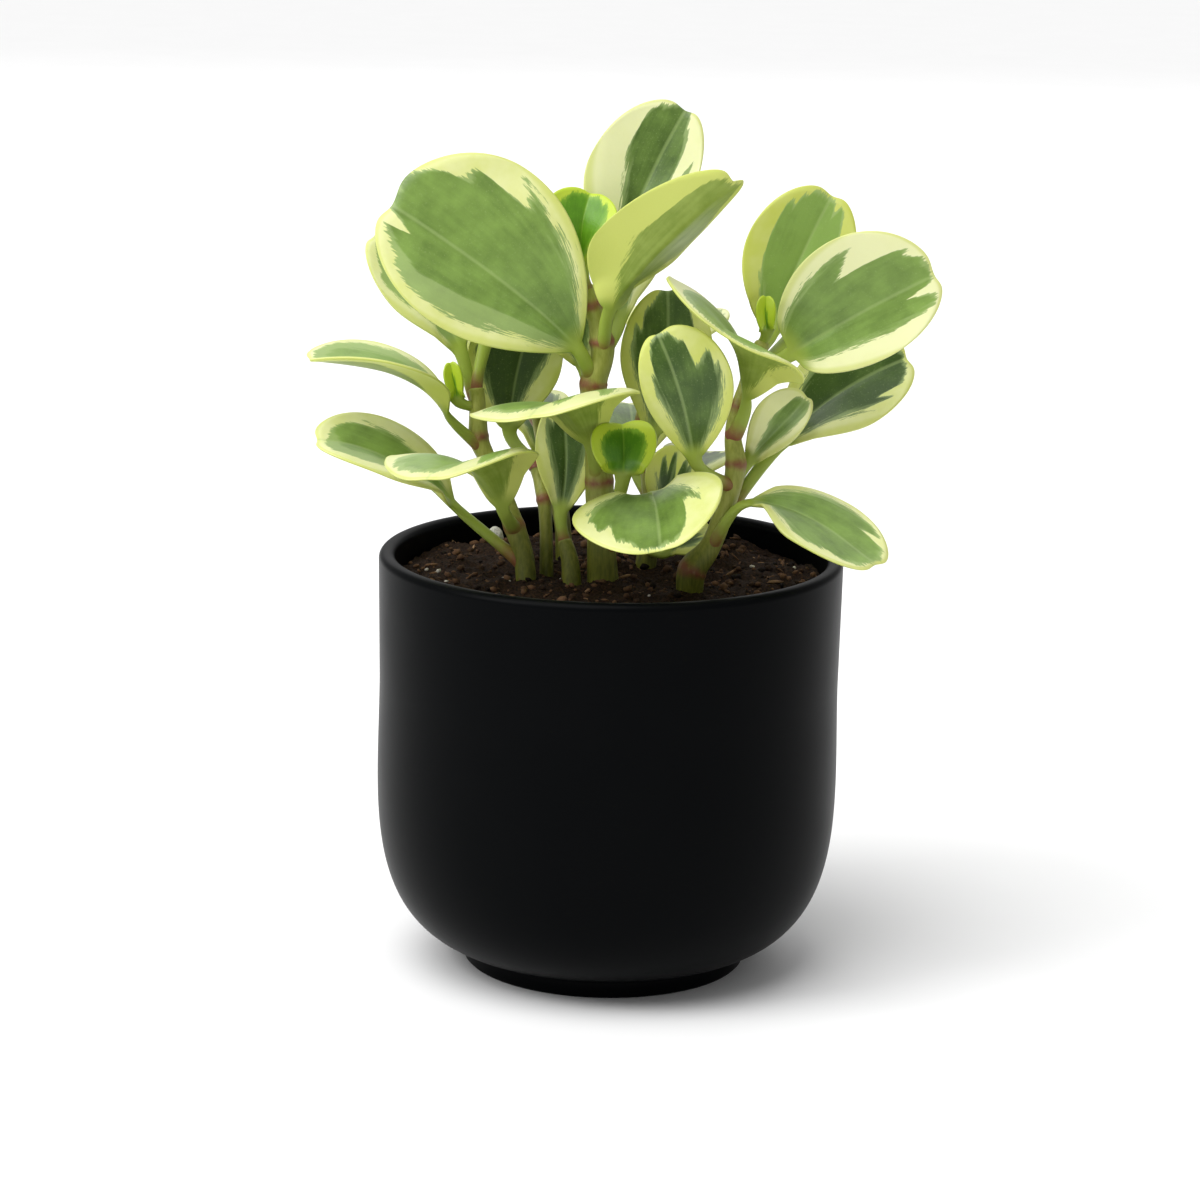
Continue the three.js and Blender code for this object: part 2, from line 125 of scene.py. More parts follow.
# Stems: each point is (x, y, z, radius), and a stem is thickest at its nodes.
STEMS = {
    "stem_left": [
        (-21.5, -12, 103, 2.7), (-22.5, -10.5, 110, 2.6), (-25, -9, 117, 2.7), (-28.5, -6, 126, 2.3),
        (-32.5, -4, 134, 2.3), (-34.5, -3, 139, 2.6), (-35, -2, 147, 2.1), (-35.5, -1, 151, 2.2),
    ],
    "stem_main": [
        (-2, -12, 103, 4.2), (-2.5, -12, 111, 3.8), (-3, -12, 121, 3.5), (-3.5, -12, 130, 3.7),
        (-4, -12, 139, 3.2), (-4.5, -12, 148, 3.2), (-5.5, -12, 155, 3.5), (-3.5, -12, 161, 2.9),
        (-3.5, -12, 166, 3.2), (-5, -12, 171, 2.2), (-6.5, -12, 175, 2.4), (-8, -12, 180, 1.7),
    ],
    "stem_right": [
        (20, -20, 103, 3.4), (20.5, -20, 109, 3.7), (25, -19, 115, 2.8), (28, -18, 123, 2.5),
        (30, -18, 130, 2.4), (31, -17, 136, 2.7), (30, -16, 143, 2.2), (31.5, -15, 150, 2.3),
        (34, -12, 158, 2), (37, -10, 166, 2),
    ],
    "stem_slim": [
        (-16.5, -6, 103, 1.8), (-17, -4, 118, 1.7), (-17.5, -3, 123, 2), (-19, 0, 128, 1.7),
        (-20, 1.5, 131, 1.7),
    ],
    "stem_fork": [(-10, -14, 103, 2.6), (-10.5, -13, 109, 2.3), (-12, -11, 114, 2)],
    "stem_back": [
        (9, 8, 103, 2.8), (10, 9, 112, 2.6), (10.5, 10, 121, 2.7), (9, 11, 131, 2.3),
        (8, 12, 141, 2.5), (9, 13, 148, 2),
    ],
    "stem_back_left": [
        (-12, 16, 103, 2.4), (-13, 16, 113, 2.2), (-15, 16, 123, 2.4), (-18, 16, 133, 2),
        (-20, 16, 143, 2),
    ],
}


@dataclass
class Leaf:
    """A leaf, as the CAD model has it. root is the height at which its stalk leaves the stem, and a leaf
    without one grows from the stem's top.

    Its green runs out in flames. outer gives how far short of the outer edge they stop, in millimetres, at
    places from the left side (0) over the tip (0.5) to the right side (1), and pale how much further in the
    deep green starts. left and right are the cream margins along the sides, from the neck up. Without
    outer, the flames are drawn by chance from seed. lime is how yellow the margin is, and dark how deep the
    green: partly the leaf's own tone and partly painted light, high on leaves that lie in shadow (painted
    shade) and low on leaves that catch the light (painted sheen)."""

    stem: str
    half: tuple
    face: tuple
    fold: tuple
    neck: tuple
    mid: tuple
    tip: tuple
    root: float = None
    cup: float = 10
    shoulder: float = 0.55
    base: float = 1
    young: bool = False
    outer: tuple = ()
    pale: tuple = ((0, 0), (1, 0))
    left: tuple = (0.8, 1.5, 2)
    right: tuple = (0.8, 1.5, 2)
    lime: float = 0.4
    dark: float = 0.4
    seed: float = 0


# dark: besides each leaf's own tone, high values are painted shade on leaves in shadow and low ones painted
# sheen on leaves in the light
LEAVES = {
    "leaf_big_round": Leaf(
        stem="stem_main", root=156,
        half=(19, 26), face=(0.1, -1, 0.25), fold=(12, 2), shoulder=0.66,
        neck=(-10, -16, 165), mid=(-29, -20, 182), tip=(-58, -18, 201),
        left=(1, 2, 2.5), right=(1, 1.5, 1.5), lime=0.45, dark=0.35,
        outer=[
            (0.12, 18), (0.13, 10), (0.16, 6.6), (0.25, 3.7), (0.33, 4.4), (0.41, 1.6), (0.425, 1.3),
            (0.436, 7), (0.47, 2.6), (0.49, -1), (0.6, -1), (0.66, 1.3), (0.69, 3.2), (0.7, 6.9),
            (0.74, 5.3), (0.77, 4.6), (0.78, 13), (0.8, 17), (0.84, 13), (0.89, 5.8), (0.91, 4.8),
            (0.92, 13), (0.93, 18),
        ],
        pale=[(0.12, 0), (0.13, 7), (0.25, 6), (0.3, 4.5), (0.36, 1.5), (0.41, 0)],
    ),
    "leaf_behind_big": Leaf(
        stem="stem_left", root=148,
        half=(10, 12), face=(0.2, -1, 0.4), fold=(30, 8),
        neck=(-40, 2, 161), mid=(-50, 6, 176), tip=(-63, 8, 189),
        lime=0.3, dark=0.2,
        outer=[(0, 6), (0.2, 3), (0.3, 5), (0.5, 1), (0.8, 3), (1, 6)],
        pale=[(0, 3), (1, 3)],
    ),
    "leaf_hidden_upright": Leaf(
        stem="stem_left",
        half=(10, 10), face=(0, -1, 0.2), fold=(20, 5),
        neck=(-33, 3, 164), mid=(-31, 6, 177), tip=(-29, 10, 190),
        left=(1.5, 3, 3), right=(1.5, 3, 3), lime=0.6, dark=0.2, seed=3,
        pale=[(0, 6), (1, 6)],
    ),
    "leaf_upper_left": Leaf(
        stem="stem_left", root=136,
        half=(13, 13), face=(0.2, 0, 1), fold=(45, 14),
        neck=(-43, -7, 146), mid=(-56, -11, 156.5), tip=(-78, -16, 160),
        left=(6, 5, 2), right=(1, 1.5, 2), lime=0.3, dark=0.1,
        outer=[(0, 9), (0.1, 9), (0.2, 7), (0.3, 4), (0.4, 1.5), (0.5, 1), (0.7, 1.2), (0.9, 2), (1, 3)],
        pale=[(0.4, 0), (0.5, 2), (1, 2)],
    ),
    "leaf_lower_left": Leaf(
        stem="stem_left", root=107,
        half=(12, 13), face=(0.3, -0.4, 0.9), fold=(45, 8),
        neck=(-41, -6, 122), mid=(-57, -10, 134), tip=(-76, -14, 139.5),
        left=(1, 2, 3), right=(1.5, 3, 3), lime=0.35, dark=0.2,
        outer=[
            (0, 18), (0.2, 8), (0.3, 5), (0.36, 2.5), (0.5, 2), (0.55, 3.5), (0.6, 3.2), (0.66, 3.8),
            (0.72, 5), (0.735, 9), (0.75, 8), (0.77, 4), (0.84, 2.1), (0.88, 3.5), (0.9, 9),
            (0.93, 18),
        ],
        pale=[(0.3, 4), (0.36, 4), (0.5, 3), (0.56, 1), (0.6, 0)],
    ),
    "leaf_front_left": Leaf(
        stem="stem_left", root=116,
        half=(19, 20), face=(-0.3, -0.3, 1), fold=(50, 2),
        neck=(-28, -18, 124), mid=(-36, -30, 137), tip=(-46, -50, 136.5),
        left=(2, 3, 3), right=(2, 3, 3), lime=0.3, dark=0.1,
        outer=[
            (0, 12), (0.1, 6), (0.24, 3), (0.3, 2.8), (0.33, 6), (0.36, 12), (0.4, 12), (0.44, 4),
            (0.5, 2), (0.54, 3), (0.6, 2.2), (0.63, 3.4), (0.67, 1.4), (0.7, 3), (0.74, 1.6),
            (0.78, 3.2), (0.84, 1.6), (0.86, 4), (0.88, 9), (0.92, 14),
        ],
        pale=[(0, 1), (1, 1)],
    ),
    "leaf_front_centre": Leaf(
        stem="stem_main", root=130,
        half=(22, 22), face=(-0.28, -0.12, 1), fold=(50, 0), cup=0,
        neck=(-6, -18, 141), mid=(-14, -32, 153), tip=(-21, -50, 152.5),
        left=(2, 3, 3), right=(2, 3, 3), lime=0.25, dark=0.2,
        outer=[
            (0, 6), (0.1, 4), (0.17, 2.5), (0.24, 3), (0.27, 9), (0.33, 12), (0.38, 5), (0.42, 4),
            (0.46, 9), (0.5, 5), (0.56, 5), (0.62, 4), (0.68, 4.5), (0.75, 4), (0.8, 5), (0.86, 3.5),
            (0.92, 5), (1, 6),
        ],
        pale=[(0, 1.5), (1, 1.5)],
    ),
    "leaf_young_top": Leaf(
        stem="stem_main", young=True,
        half=(11, 10), face=(-0.1, -1, 0.3), fold=(45, 20),
        neck=(-9, -11, 185), mid=(-9, -9, 194), tip=(-7, -5, 202.5),
        left=(2, 2, 2.5), right=(2, 2, 2.5),
        outer=[
            (0, 7), (0.1, 5), (0.2, 5.5), (0.26, 2.5), (0.34, 1.5), (0.4, 0.6), (0.6, 0.6),
            (0.66, 2), (0.7, 0.8), (0.75, 2), (0.85, 4), (1, 7),
        ],
    ),
    "leaf_upper_right": Leaf(
        stem="stem_main", root=163,
        half=(17, 14.5), face=(-0.3, 0.75, 0.58), fold=(40, 26), shoulder=0.42,
        neck=(-1.5, -18, 175), mid=(9, -26, 190), tip=(29, -37, 211),
        left=(0.4, 0.5, 1), right=(3.5, 5, 6), lime=0.5, dark=0.3,
        outer=[
            (0, 0.5), (0.1, 2.5), (0.2, 3.8), (0.3, 4), (0.38, 3), (0.42, 0.5), (0.55, 0.5),
            (0.6, 3), (0.63, 9), (0.66, 16), (0.7, 18),
        ],
    ),
    "leaf_top": Leaf(
        stem="stem_main", root=171,
        half=(16, 12), face=(-0.1, -1, 0.15), fold=(20, 6), shoulder=0.5,
        neck=(-1, -4, 184), mid=(7, 2, 204), tip=(17, 8, 223),
        left=(3, 6, 6), right=(1.5, 2, 2), lime=0.05, dark=0.6,
        outer=[
            (0.24, 18), (0.265, 10), (0.28, 9.2), (0.3, 13), (0.315, 8), (0.325, 3.4), (0.34, 2),
            (0.38, 0.8), (0.42, 1), (0.46, -1), (0.54, -1), (0.57, 2.5), (0.58, 4.5), (0.6, 3.8),
            (0.615, 6), (0.63, 6), (0.65, 9), (0.665, 14), (0.69, 18), (0.72, 16), (0.735, 9),
            (0.757, 3.2), (0.775, 5), (0.79, 9), (0.8, 14), (0.83, 18),
        ],
        pale=[(0, 0), (0.55, 0), (0.6, 2), (0.7, 1), (1, 0)],
    ),
    "leaf_behind_left": Leaf(
        stem="stem_slim",
        half=(14, 11), face=(0.1, -1, 0.3), fold=(20, 6),
        neck=(-27, 9, 139), mid=(-25, 11, 155), tip=(-20, 12, 171),
        left=(0.8, 1, 1), right=(1.5, 3, 3), lime=0.6, dark=1,
        outer=[(0, 2), (0.2, 1.5), (0.5, 1.5), (0.75, 2), (0.83, 5), (0.86, 16)],
    ),
    "leaf_behind_main": Leaf(
        stem="stem_main", root=148,
        half=(10, 10), face=(0, -1, 0.2), fold=(20, 6),
        neck=(-8, -2, 158), mid=(-11, 2, 168), tip=(-15, 6, 178),
        right=(1.5, 2.5, 3), lime=0.5, dark=0.7,
        outer=[(0, 3), (0.5, 2), (0.7, 3), (1, 6)],
    ),
    "leaf_cup": Leaf(
        stem="stem_main", root=118, young=True,
        half=(9, 9), face=(0, -0.8, 0.6), fold=(30, 20), base=0.5,
        neck=(2.5, -24, 134), mid=(2.5, -22.5, 141), tip=(2, -19, 146),
        left=(1, 1.2, 1.5), right=(1, 1.2, 1.5), dark=0.6,
        outer=[(0, 4), (0.5, 1.6), (1, 4)],
    ),
    "leaf_tall_behind": Leaf(
        stem="stem_back", root=128,
        half=(12, 12), face=(0, -1, 0.15), fold=(20, 6),
        neck=(10, 3, 140), mid=(13, 5, 158), tip=(13, 7, 177),
        left=(1, 1.2, 2), right=(2, 3, 3), lime=0.7, dark=0.75,
        outer=[
            (0, 3), (0.12, 3), (0.2, 5), (0.24, 3), (0.27, 5), (0.29, 8), (0.32, 3.5), (0.38, 2.5),
            (0.42, 1.5), (0.46, -1), (0.6, -1), (0.65, 3), (0.7, 6), (0.8, 10), (1, 12),
        ],
    ),
    "leaf_tilted_right": Leaf(
        stem="stem_right", root=143,
        half=(21, 22), face=(0.5, -0.1, 0.86), fold=(50, 2),
        neck=(33, -20, 154), mid=(29, -34, 170), tip=(25, -54, 175),
        left=(2, 3, 3), right=(2, 3, 3), lime=0.3, dark=0.1,
        outer=[
            (0, 6), (0.1, 4), (0.25, 5), (0.34, 1.5), (0.45, 1), (0.55, 1), (0.65, 2), (0.72, 2.5),
            (0.76, 6), (0.8, 12), (0.85, 16),
        ],
        pale=[(0, 2), (1, 2)],
    ),
    "leaf_oval": Leaf(
        stem="stem_right", root=130,
        half=(9, 14), face=(-0.1, -1, 0.1), fold=(12, 4),
        neck=(20, -28, 140), mid=(16, -32, 157), tip=(10, -30, 171.5),
        left=(1, 1.8, 2.5), right=(0.8, 0.8, 1.2), lime=0.65, dark=0.85,
        outer=[
            (0.12, 18), (0.14, 11), (0.18, 8.7), (0.2, 10.5), (0.24, 8), (0.29, 5.8), (0.31, 8),
            (0.35, 3.4), (0.41, 1.3), (0.49, -0.5), (0.56, 0.7), (0.59, 3.4), (0.63, 3.4), (0.64, 7),
            (0.66, 10), (0.71, 7), (0.75, 4), (0.78, 3.4), (0.8, 6.6), (0.84, 3.4), (0.87, 4.5),
            (0.9, 3), (1, 4),
        ],
    ),
    "leaf_front_low": Leaf(
        stem="stem_main", root=111,
        half=(18, 21), face=(-0.27, -0.35, 0.9), fold=(32, 8),
        neck=(10, -24, 129), mid=(11, -41, 128), tip=(12, -60, 122),
        left=(2, 3.5, 4), right=(1, 1.5, 2.5), lime=0.4, dark=0.45,
        outer=[
            (0, 12), (0.1, 8), (0.14, 7), (0.16, 9), (0.2, 6), (0.25, 8), (0.29, 13), (0.33, 14),
            (0.35, 8), (0.37, 5), (0.41, 2), (0.45, 1), (0.5, 0.5), (0.58, 0.3), (0.6, 2.5),
            (0.64, 3.5), (0.68, 2.5), (0.69, 6), (0.71, 9), (0.74, 4.5), (0.775, 3.5), (0.785, 8),
            (0.8, 6), (0.825, 3.5), (0.835, 8), (0.86, 7), (0.89, 5), (0.9, 10), (0.91, 18),
        ],
    ),
    "leaf_low_right": Leaf(
        stem="stem_right", root=114,
        half=(13, 14), face=(0.05, -0.25, 1), fold=(35, 0),
        neck=(35, -24, 127.5), mid=(50, -30, 124.5), tip=(66, -42, 115.5),
        left=(0.8, 1, 1.2), right=(0.8, 1, 1.2), lime=0.3, dark=0.3,
        outer=[
            (0, 6), (0.06, 4), (0.1, 3), (0.14, 2.2), (0.18, 2.5), (0.24, 1.4), (0.28, 1.6),
            (0.29, 5), (0.32, 7), (0.34, 2), (0.4, 1), (0.5, 0.2), (0.58, 1), (0.66, 1.6), (0.7, 3),
            (0.73, 5.5), (0.76, 3.2), (0.8, 5.5), (0.84, 4), (0.88, 2), (0.92, 5), (1, 5),
        ],
    ),
    "leaf_right_round": Leaf(
        stem="stem_right", root=157,
        half=(19.5, 13), face=(0.1, -1, 0.2), fold=(14, 4), base=0.5,
        neck=(44, -20, 165), mid=(60.5, -23, 176), tip=(79.5, -24, 186.5),
        left=(1, 2, 2.5), right=(2, 4, 5), lime=0.05, dark=0.3,
        outer=[
            (0, 18), (0.06, 14), (0.09, 10.5), (0.12, 16), (0.15, 14), (0.18, 6), (0.2, 8),
            (0.26, 14), (0.3, 18), (0.32, 6), (0.34, 1.6), (0.37, 3.5), (0.4, 1), (0.43, 0.4),
            (0.5, 0.3), (0.53, 1.5), (0.55, 6), (0.57, 9.5), (0.58, 4), (0.6, 1.5), (0.64, 0.6),
            (0.68, 1.2), (0.69, 3), (0.715, 6), (0.73, 9), (0.745, 16), (0.76, 18),
        ],
    ),
    "leaf_right_upright": Leaf(
        stem="stem_right", root=163,
        half=(15, 13), face=(0, -1, 0.1), fold=(20, 6), base=0.7,
        neck=(40, -1, 168), mid=(46, 4, 184), tip=(55, 9, 202),
        left=(1.5, 2.5, 3), right=(1.5, 2, 2), lime=0.75, dark=0,
        outer=[
            (0.06, 18), (0.1, 9), (0.13, 10), (0.15, 12), (0.22, 18), (0.26, 6), (0.285, 2),
            (0.31, 2.5), (0.33, 5), (0.35, 1.5), (0.38, 2), (0.41, 0.6), (0.47, 0.3), (0.53, 0.3),
            (0.55, 1.5), (0.56, 4), (0.59, 1), (0.62, 1.6), (0.65, 3.5), (0.67, 5.5), (0.7, 7),
            (0.8, 9), (1, 14),
        ],
    ),
    "leaf_right_mid": Leaf(
        stem="stem_right", root=122,
        half=(13, 12), face=(0.1, -1, 0.6), fold=(25, 6),
        neck=(43, -8, 140.5), mid=(58, 0, 152), tip=(76, 8, 160),
        left=(1, 1, 1), right=(1, 2, 2), lime=0.5, dark=0.9,
        outer=[
            (0, 2), (0.3, 1.5), (0.42, 0.5), (0.5, 0.4), (0.56, 1.2), (0.6, 2), (0.64, 3),
            (0.67, 3.5), (0.685, 8), (0.7, 10), (0.73, 5), (0.75, 4), (0.76, 10), (0.78, 12),
            (0.8, 7), (0.83, 5), (0.85, 7), (0.88, 12), (0.92, 18),
        ],
    ),
    "leaf_right_small": Leaf(
        stem="stem_right", root=129,
        half=(8, 5), face=(0, -1, 0.3), fold=(25, 10),
        neck=(35, -13, 137), mid=(42, -13, 145), tip=(49, -10, 152.5),
        left=(2, 3, 3), right=(1, 1.5, 2), lime=0.3, dark=0.5,
        outer=[
            (0, 14), (0.2, 10), (0.3, 8), (0.37, 5.5), (0.4, 2), (0.45, 1), (0.5, 0.5), (0.6, 0.5),
            (0.7, 1), (0.8, 4), (0.9, 6), (1, 8),
        ],
    ),
    "leaf_bud_right": Leaf(
        stem="stem_right", young=True,
        half=(3, 3), face=(0, -1, 0.2), fold=(50, 30),
        neck=(38, -12, 169.5), mid=(37.5, -13, 174), tip=(37.5, -12, 178),
        lime=0.8,
    ),
    "leaf_bud_left": Leaf(
        stem="stem_left", root=146, young=True,
        half=(2.8, 2.8), face=(0, -1, 0.2), fold=(50, 30),
        neck=(-40, -4, 149), mid=(-41, -4, 154), tip=(-42, -3, 158),
        lime=0.8,
    ),
    "leaf_dark_centre": Leaf(
        stem="stem_back", root=110,
        half=(7, 7), face=(0, -1, 0.3), fold=(20, 8),
        neck=(13, -2, 121), mid=(15, -3, 129), tip=(17, -1, 137),
        lime=0.7, dark=1, seed=2,
    ),
    "leaf_low_back": Leaf(
        stem="stem_back", root=107,
        half=(7, 7), face=(-0.3, -0.6, 0.8), fold=(25, 8),
        neck=(15, 2, 109), mid=(20, 2, 112), tip=(26, 3, 114),
        lime=0.7, dark=1, seed=4,
    ),
    "leaf_fork": Leaf(
        stem="stem_fork",
        half=(8, 8), face=(0, -1, 0.2), fold=(20, 6),
        neck=(-13, -9, 122), mid=(-12, -6, 135), tip=(-13.5, -2, 149),
        left=(1, 2, 2.5), lime=0.6, dark=1, seed=6,
    ),
    "leaf_back_left": Leaf(
        stem="stem_back_left", root=139,
        half=(14, 14), face=(-0.2, -0.3, 1), fold=(30, 8),
        neck=(-26, 22, 150), mid=(-33, 31, 163), tip=(-42, 42, 169),
        dark=0.4, seed=8,
    ),
    "leaf_back_left_low": Leaf(
        stem="stem_back_left", root=122,
        half=(11, 11), face=(0, 0.2, 1), fold=(35, 8),
        neck=(-19, 23, 130), mid=(-22, 34, 139), tip=(-25, 50, 141),
        dark=0.7, seed=9,
    ),
    "leaf_back_low": Leaf(
        stem="stem_back", root=120,
        half=(13, 13), face=(0, 0.2, 1), fold=(35, 8),
        neck=(6, 18, 128), mid=(5, 30, 137), tip=(4, 48, 139),
        dark=0.6, seed=10,
    ),
    "leaf_back_centre": Leaf(
        stem="stem_back",
        half=(14, 14), face=(0, 0, 1), fold=(30, 8),
        neck=(12, 20, 154), mid=(16, 31, 162), tip=(20, 46, 165),
        lime=0.2, dark=0.4, seed=11,
    ),
    "leaf_back_right": Leaf(
        stem="stem_right", root=155,
        half=(12, 12), face=(0.2, 0.1, 1), fold=(30, 8),
        neck=(45, 4, 166), mid=(55, 14, 173), tip=(66, 28, 174),
        lime=0.4, dark=0.4, seed=12,
    ),
    "leaf_back_top": Leaf(
        stem="stem_main", root=160,
        half=(9, 9), face=(0, 0, 1), fold=(30, 8),
        neck=(1, 2, 170), mid=(2, 12, 180), tip=(3, 25, 184),
        lime=0.2, dark=0.4, seed=13,
    ),
    "leaf_back_low_right": Leaf(
        stem="stem_back", root=114,
        half=(10, 10), face=(0.1, 0.1, 1), fold=(30, 8),
        neck=(17, 18, 121), mid=(22, 29, 127), tip=(26, 44, 127),
        dark=0.7, seed=14,
    ),
}

PEBBLE_CENTRE = (-31, 34, 105)
PEBBLE_SIZE = (2.2, 1.8, 2.6)

# Loose bits on the soil: how many, their smallest and largest half length, how slim they are, their tone
CRUMBS = [
    {"count": 1000, "size": (0.35, 1.5), "slim": (0.6, 1), "tone": (0, 0.6)},
    {"count": 130, "size": (1, 2.6), "slim": (0.14, 0.3), "tone": (0.3, 1)},
    {"count": 26, "size": (0.4, 0.9), "slim": (0.7, 1), "tone": (1.5, 1.6)},
]

chance = random.Random(SEED)


# Shapes


def add_object(name, data):
    """An object in the scene with the given mesh, camera or lamp."""
    item = bpy.data.objects.new(name, data)
    bpy.context.scene.collection.objects.link(item)
    return item


def mesh_object(name, points, faces, materials, uses=None, floats=None, uvs=None):
    """A smooth-shaded mesh. uses gives each face's material, and floats named values at the points."""
    mesh = bpy.data.meshes.new(name)
    mesh.from_pydata([Vector(point) * MM for point in points], [], faces)
    for material in materials:
        mesh.materials.append(material)
    mesh.polygons.foreach_set("use_smooth", [True] * len(faces))
    if uses:
        mesh.polygons.foreach_set("material_index", uses)
    for key, values in (floats or {}).items():
        mesh.attributes.new(key, "FLOAT", "POINT").data.foreach_set("value", values)
    if uvs:
        layer = mesh.uv_layers.new(name="veins")
        for loop, corner in zip(mesh.loops, layer.data):
            corner.uv = uvs[loop.vertex_index]
    mesh.update()
    return add_object(name, mesh)


def dress(piece, node):
    """The piece stands for a CAD node: it hangs from the root body, and the node's own mesh is hidden."""
    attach(piece, "root")
    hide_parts(node)


def subdivide(piece, levels=1):
    modifier = piece.modifiers.new("Subdivision", "SUBSURF")
    modifier.levels = levels
    modifier.render_levels = levels


def tube_faces(rings, count, start=0):
    """Quads between rings of count points each."""
    faces = []
    for row in range(rings - 1):
        for i in range(count):
            a = start + row * count + i
            b = start + row * count + (i + 1) % count
            faces.append((a, b, b + count, a + count))
    return faces


def circle(radius, segments):
    """The x and y of points round the axis."""
    angles = [2 * math.pi * i / segments for i in range(segments)]
    return [(radius * math.cos(angle), radius * math.sin(angle)) for angle in angles]


def turned_faces(rows, segments):
    """The faces of rings of points that a first and a last point close."""
    last = 1 + (rows - 1) * segments
    end = last + segments
    faces = [(0, 1 + (i + 1) % segments, 1 + i) for i in range(segments)]
    faces += tube_faces(rows, segments, 1)
    return faces + [(last + i, last + (i + 1) % segments, end) for i in range(segments)]


def lathe(name, profile, segments, material):
    """A closed body turned round the Z axis. The profile starts and ends on the axis."""
    points = [(0, 0, profile[0][1])]
    for radius, height in profile[1:-1]:
        points += [(x, y, height) for x, y in circle(radius, segments)]
    points.append((0, 0, profile[-1][1]))
    return mesh_object(name, points, turned_faces(len(profile) - 2, segments), [material])


def mix(a, b, share):
    return a + (b - a) * share


def along_list(values, share):
    """The value at a share of the way along a list, in soft steps from one to the next."""
    place = min(max(share, 0), 1) * (len(values) - 1)
    index = min(int(place), len(values) - 2)
    part = place - index
    return mix(values[index], values[index + 1], part * part * (3 - 2 * part))


def height_at(outline, place):
    """The height at a place of an outline given as (place, height) points in order."""
    before = outline[0]
    for point in outline:
        if point[0] >= place:
            break
        before = point
    if point[0] <= before[0]:
        return point[1]
    return mix(before[1], point[1], min(1, (place - before[0]) / (point[0] - before[0])))


def bezier(points, share):
    """A point on the Bezier curve through the given control points."""
    points = [Vector(point) for point in points]
    while len(points) > 1:
        points = [a.lerp(b, share) for a, b in zip(points, points[1:])]
    return points[0]


def bezier_direction(points, share):
    steps = [Vector(b) - Vector(a) for a, b in zip(points, points[1:])]
    return bezier(steps, share).normalized()


def squared(side, along):
    """The side direction nearest to the last one that is square to the curve."""
    return (side - along * side.dot(along)).normalized()


def oval(centre, side, normal, half_width, half_height, count):
    """Points round a centre, from left over the top to the right and back below."""
    ring = []
    for i in range(count):
        angle = math.pi - (i + 0.5) / count * 2 * math.pi
        offset = side * half_width * math.cos(angle) + normal * half_height * math.sin(angle)
        ring.append(centre + offset)
    return ring


# Pot


def wall_profile(wall_radius, foot_radius, foot_height, drop):
    """The belly's curve, from the foot up to the straight wall."""
    points = [
        (foot_radius, foot_height, 0),
        (foot_radius + BELLY_REACH, foot_height + BELLY_REACH * BELLY_RISE, 0),
        (wall_radius, SHOULDER_HEIGHT - drop, 0),
        (wall_radius, SHOULDER_HEIGHT, 0),
    ]
    return [bezier(points, step / BELLY_STEPS)[:2] for step in range(BELLY_STEPS + 1)]


def outer_profile():
    return wall_profile(POT_RADIUS - POT_TAPER, FOOT_RADIUS, FOOT_HEIGHT, BELLY_DROP)


def inner_profile():
    return wall_profile(POT_RADIUS - POT_TAPER - WALL, FOOT_RADIUS - WALL, FLOOR, BELLY_DROP - WALL)


def rim_profile():
    middle = POT_RADIUS - WALL / 2
    angles = [math.pi * step / RIM_STEPS for step in range(RIM_STEPS + 1)]
    return [
        (middle + WALL / 2 * math.cos(a), POT_HEIGHT - RIM_ROUND + RIM_ROUND * math.sin(a)) for a in angles
    ]


def make_pot(material):
    foot_edge = FOOT_RADIUS - FOOT_CHAMFER
    foot = [
        (0, 0), (foot_edge - 1, 0), (foot_edge, 0), (FOOT_RADIUS, FOOT_CHAMFER),
        (FOOT_RADIUS, FOOT_HEIGHT - FOOT_CHAMFER),
    ]
    wall = outer_profile()
    corner = wall[0]
    crease = [(corner[0], corner[1] - 0.15), (corner[0] + 0.15, corner[1] + 0.04)]
    inside = inner_profile()[::-1]
    bottom = [(FOOT_RADIUS - 2 * WALL, FLOOR), (0, FLOOR)]
    profile = [*foot, *crease, *wall[1:], *rim_profile(), *inside, *bottom]
    pot = lathe("ceramic_pot", profile, POT_SEGMENTS, material)
    dress(pot, "pot")


# Soil


def soil_height(x, y):
    share = math.hypot(x, y) / (POT_RADIUS - WALL)
    waves = sum(math.sin(x * along_x + y * along_y + start) for along_x, along_y, start in SOIL_WAVES)
    return SOIL_TOP + SOIL_HEAP * (1 - share * share) + SOIL_BUMP * waves


def clod_height(x, y):
    """The soil's surface with its clods and crumbs."""
    lumps = noise.fractal(Vector((x, y, 0)) * 0.16, 0.6, 2.1, 6)
    grains = noise.fractal(Vector((x, y, 9)) * 0.9, 0.5, 2, 3)
    return soil_height(x, y) + SOIL_CLOD * (0.75 * lumps + 0.3 * grains)


def make_soil(material):
    edge = POT_RADIUS - WALL - FIT_GAP
    points = [(0, 0, clod_height(0, 0))]
    for ring in range(1, SOIL_RINGS + 1):
        points += [(x, y, clod_height(x, y)) for x, y in circle(edge * ring / SOIL_RINGS, SOIL_SEGMENTS)]
    below = [(radius - FIT_GAP, height + FIT_GAP) for radius, height in inner_profile()[::-4]]
    for radius, height in below:
        points += [(x, y, height) for x, y in circle(radius, SOIL_SEGMENTS)]
    points.append((0, 0, FLOOR + FIT_GAP))
    faces = [face[::-1] for face in turned_faces(SOIL_RINGS + len(below), SOIL_SEGMENTS)]
    soil = mesh_object("potting_soil", points, faces, [material])
    dress(soil, "soil")


def ball(level):
    """The points and faces of a small rough ball."""
    shape = bmesh.new()
    bmesh.ops.create_icosphere(shape, subdivisions=level, radius=1)
    points = [vertex.co.copy() for vertex in shape.verts]
    faces = [tuple(vertex.index for vertex in face.verts) for face in shape.faces]
    shape.free()
    return points, faces


